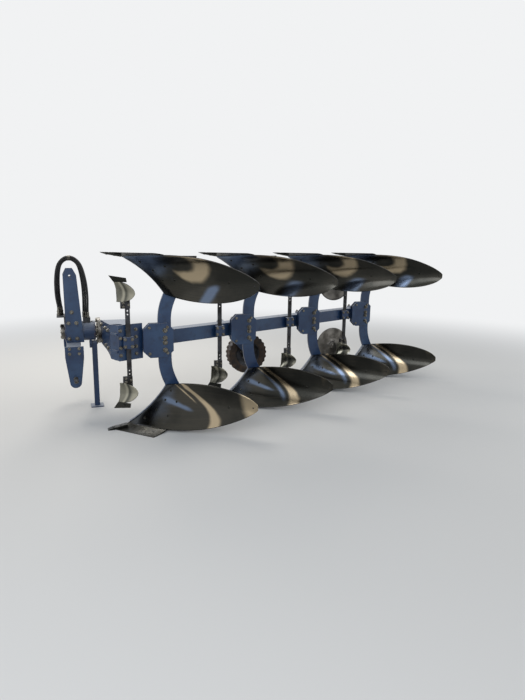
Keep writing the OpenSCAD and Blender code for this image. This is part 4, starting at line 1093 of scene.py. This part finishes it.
def hosePath(lane):
    # The outer hoses' bows are wider or narrower than the middle one's, with their ends at one height
    route = np.array(hoseRoute)
    grow = 1 + lane * hose["fan"]
    route[:, 0] *= grow
    route[:, 2] = np.where(route[:, 2] > 0, route[:, 2] * grow, route[:, 2])
    return smoothRoute(route + (towerMid, rollY + lane * hose["gapAcross"], hose["top"]), 12)


def hoseEnds(path):
    # Swivel nut and ferrule at the valve, a sleeve on the crest, and the coupling on the rack
    lower, upper, upright = path[0], path[-1], (0, 0, 1)
    crest = int(np.argmax(path[:, 2]))
    return [lathe([(0.0145, 0), (0.0145, 0.016)], lower, upright, 6),
            lathe(ferrule, lower, path[4] - lower, 24), lathe(coupling, upper, upright, 28),
            sweep(path[crest - 2:crest + 4], circle(hose["sleeveR"], 20))]


for lane in (-1, 0, 1):
    path = hosePath(lane)
    tube = makePiece(f"hose{lane + 2}", sweep(path, circle(hose["radius"], 20)), "braidedHoseRubber",
                     "headstock_body", replaced=["hoses"])
    ends = makeBolts(f"hoseEnds{lane + 2}", hoseEnds(path), "headstock_body")
print("hoses made")


# Depth wheel: the tyre's section bulges between rim and tread, r = rim + depth (1 + sin w / sin 70) / 2
rimBox, tyreBox = np.array(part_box("wheel_rim")), np.array(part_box("wheel_tyre"))
wheelAxis = rimBox.mean(axis=0)
wheel = {"radius": float(tyreBox[1, 0] - tyreBox[0, 0]) / 2, "half": float(tyreBox[1, 1] - tyreBox[0, 1]) / 2,
         "lugs": 26, "around": 364, "across": 45, "lugDeep": 0.009, "lean": 3.12, "middleGroove": 0.008,
         "sweepFrom": -70, "sweepTo": 250, "pinR": 0.02, "stud": 0.07, "rimHalf": 0.06, "dishBore": 0.0405}
wheel["rimR"] = wheel["radius"] * 0.62


def tyreShape(spec=wheel):
    deep, half = spec["radius"] - spec["rimR"], spec["half"]
    w = np.radians(np.linspace(spec["sweepFrom"], spec["sweepTo"], spec["across"]))
    turn = np.linspace(0, 2 * np.pi, spec["around"], endpoint=False)[:, None]
    # Height of the section from the rim out, mirrored past the crown, and its half width cos-shaped
    rise = np.clip(np.sin(w) / -math.sin(math.radians(spec["sweepFrom"])), -1, 1)
    r = spec["radius"] - deep / 2 + deep / 2 * rise
    flank = np.sign(np.cos(w)) * (0.8 + 0.2 * np.abs(np.cos(w))) * half
    crown = np.clip((rise - 0.82) / 0.18, 0, 1)
    side = np.clip(flank * (1 - crown) + np.cos(w) * half * 1.9 * crown, -half, half)
    # Lugs lean both ways from the middle: a wave of the turn shifted by the distance from the middle line
    wave = np.sin(spec["lugs"] * turn + spec["lean"] * np.abs(side) / half + np.where(side > 0, 0.0, np.pi))
    tread = np.clip((rise - 0.55) / 0.25, 0, 1)
    groove = np.maximum(np.clip(0.5 - wave * 2.2, 0, 1), bell(side, spec["middleGroove"])) * tread
    radius = r - spec["lugDeep"] * groove
    points = np.stack([radius * np.cos(turn), side + 0 * radius, radius * np.sin(turn)], -1) + wheelAxis
    return outward((points, loopFaces(spec["around"], spec["across"])))


def rimShape(spec=wheel):
    rim, half, dish, bore = spec["rimR"], spec["rimHalf"], spec["dishBore"], spec["pinR"] + 0.0001
    profile = [(rim, half), (rim, -half), (rim - 0.006, -half), (rim - 0.008, -0.02), (rim - 0.03, -0.008),
               (0.085, 0.002), (dish, -0.006), (dish, 0.006), (0.085, 0.014), (rim - 0.03, 0.004),
               (rim - 0.008, 0.02), (rim - 0.006, half)]
    hub = [(0.0401, 0.03), (0.0401, -0.03), (0.034, -0.036), (0.034, -0.045), (bore, -0.045), (bore, 0.045),
           (0.034, 0.045), (0.034, 0.036)]
    return joinShapes([lathe(ring, wheelAxis, (0, 1, 0), sides, ring=True)
                       for ring, sides in ((profile, 72), (hub, 48))])


def rimBolts(spec=wheel):
    # Five studs with heads on both sides of the dish, and the valve's stem
    shapes = []
    for side, y in ((1, 0.011), (-1, -0.001)):
        places = ringPlaces(wheelAxis + (0, y, 0), spec["stud"], 5, 18, across=1)
        shapes += hexBolts(places, (0, side, 0), 0.021, 0.004)
    stem = [(0.004, 0), (0.004, 0.02), (0.005, 0.021), (0.005, 0.028)]
    return shapes + [lathe(stem, wheelAxis + (spec["rimR"] - 0.012, 0.014, 0), (-0.3, 1, 0), 12)]


makePiece("tyreTread", tyreShape(), "dustyTyreRubber", "depth_wheel", replaced=["wheel_tyre"])
makePiece("wheelRim", rimShape(), "dirtyForgedSteel", "depth_wheel", replaced=["wheel_rim"])
makeBolts("rimBolts", rimBolts(), "depth_wheel")
axleEnds = ((wheel["half"] + 0.028, 1), (-0.0535, -1))  # nuts outside the arm and on the hub's far side
makeBolts("armBolts", [shape for y, side in axleEnds for shape in hexBolts(
    [wheelAxis + (0, y, 0)], (0, side, 0), 0.036, 0.006)], "wheel_swing_arm")
print("depth wheel made")


# Disc coulters: thin discs with a ground edge, a riveted hub with its cap
disc = {"radius": 0.235, "half": 0.0025, "edge": 0.02, "hubR": 0.045, "hubHalf": 0.03, "axleR": 0.01805,
        "rivetRing": 0.07}


def discShape(middle, spec=disc):
    hub, half, wide = spec["hubR"], spec["half"], spec["hubHalf"]
    profile = [(spec["axleR"], wide), (hub - 0.006, wide), (hub, wide - 0.006), (hub, half + 0.006),
               (hub + 0.014, half + 0.0012), (hub + 0.015, half), (spec["radius"] - spec["edge"], half),
               (spec["radius"], 0.0004)]
    mirrored = [(r, -h) for r, h in profile[::-1]]
    return lathe(profile + mirrored, middle, (0, 1, 0), 96, ring=True)


def discRivets(middle, spec=disc):
    crown = [(0.007, -0.0005), (0.0065, 0.002), (0.003, 0.0035)]
    return joinShapes([lathe(crown, rivet, (0, side, 0), 14) for side in (-1, 1) for rivet in ringPlaces(
        middle + (0, side * spec["half"], 0), spec["rivetRing"], 6, across=1)])


for side in ("low", "up"):
    node, body, tag = f"coulter_disc_{side}", f"coulter_{side}", side.title()
    middle = np.array(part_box(node)).mean(axis=0)
    cap = lathe([(0.026, 0), (0.026, 0.004), (0.02, 0.009), (0.008, 0.011)],
                middle + (0, disc["hubHalf"] + 0.0005, 0), (0, 1, 0), 32)
    makePiece("coulterDisc" + tag, discShape(middle), "workedDiscSteel", body, replaced=[node])
    makePiece("discRivets" + tag, discRivets(middle), "workedDiscSteel", body)
    makePiece("discCap" + tag, cap, "workedDiscSteel", body)
print("disc coulters made")

# Parking stand: the head of its pivot pin, on the front of the bracket
stand = {"bracketHalf": 0.026, "pinDrop": 0.032, "pin": [(0.018, -0.001), (0.018, 0.006), (0.015, 0.008)]}
standMid = np.array(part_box("stand_leg")).mean(axis=0)
pinPlace = (standMid[0] - stand["bracketHalf"], rollY, midHeight - housingR - stand["pinDrop"])
makePiece("standPin", lathe(stand["pin"], pinPlace, (-1, 0, 0), 24), "zincPlatedBolt", "headstock_body")
print("stand details made")


# Studio: pale floor that fades into the backdrop, soft lamps, a plain world
studio = {
    "floor": "#d3d3d1", "backdrop": "#f1f2f3", "sky": "#e8eef6", "surround": 0.55, "floorSize": 60.0,
    "fadeFrom": 3.2, "fadeTo": 9.0,
    "lamps": {
        "key": {"place": (2.2, -3.6, 5.2), "size": (5.0, 2.2), "power": 260, "colour": "#fff8ee"},
        "fill": {"place": (3.6, 5.4, 3.4), "size": (3.5, 2.5), "power": 95, "colour": "#f6f9ff"},
        "side": {"place": (-5.2, 2.6, 3.6), "size": (3.0, 1.4), "power": 70, "colour": "#ffffff"},
    },
}


def seenDirectly(tree, *kinds):
    # 1 for the camera's own rays and those of the kinds named
    rays = [addNode(tree, "LightPath", output=f"Is {kind} Ray") for kind in ("Camera", *kinds)]
    seen = rays[0]
    for ray in rays[1:]:
        seen = addNode(tree, "Math", {0: seen, 1: ray}, operation="MAXIMUM")
    return seen


def makeFloor(spec):
    half = spec["floorSize"] / 2
    mesh = bpy.data.meshes.new("floor")
    corners = [(-half, -half, 0), (half, -half, 0), (half, half, 0), (-half, half, 0)]
    mesh.from_pydata(corners, [], [(0, 1, 2, 3)])
    material, tree = newMaterial("paleStudioFloor")
    place = addNode(tree, "TexCoord", output="Object")
    far = addNode(tree, "VectorMath", {0: place}, "Value", operation="LENGTH")
    fade = addNode(tree, "MapRange", {"Value": far, "From Min": spec["fadeFrom"], "From Max": spec["fadeTo"]},
                   interpolation_type="SMOOTHSTEP")
    fade = addNode(tree, "Math", {0: fade, 1: seenDirectly(tree, "Glossy")}, operation="MULTIPLY")
    matt = addNode(tree, "BsdfDiffuse", {"Color": spec["floor"]})
    pale = addNode(tree, "Emission", {"Color": spec["backdrop"], "Strength": 1.0})
    addNode(tree, "OutputMaterial", {"Surface": addNode(tree, "MixShader", {0: fade, 1: matt, 2: pale})})
    mesh.materials.append(material)
    floor = bpy.data.objects.new("floor", mesh)
    bpy.context.scene.collection.objects.link(floor)


def makeWorld(spec):
    world = bpy.data.worlds.new("surround")
    bpy.context.scene.world = world
    world.use_nodes = True
    tree = world.node_tree
    tree.nodes.clear()
    sky = addNode(tree, "Background", {"Color": spec["sky"], "Strength": spec["surround"]})
    pale = addNode(tree, "Background", {"Color": spec["backdrop"], "Strength": 1.0})
    seen = seenDirectly(tree, "Glossy", "Transmission")
    addNode(tree, "OutputWorld", {"Surface": addNode(tree, "MixShader", {0: seen, 1: sky, 2: pale})})


def makeLamp(name, spec):
    lamp = bpy.data.lights.new(name, "AREA")
    lamp.shape, lamp.energy = "RECTANGLE", spec["power"]
    lamp.size, lamp.size_y = spec["size"]
    lamp.color = toLinear(spec["colour"])[:3]
    holder = bpy.data.objects.new(name, lamp)
    bpy.context.scene.collection.objects.link(holder)
    ray = np.array([0, 0, midHeight]) - np.array(spec["place"])
    holder.location = spec["place"]
    tilt, turn = math.acos(-ray[2] / np.linalg.norm(ray)), math.atan2(ray[1], ray[0]) - math.pi / 2
    holder.rotation_euler = (tilt, 0, turn)


makeFloor(studio)
makeWorld(studio)
for lampName, lampSpec in studio["lamps"].items():
    makeLamp(lampName, lampSpec)
bpy.context.scene.view_settings.view_transform = "Standard"
print("stage and lights set")
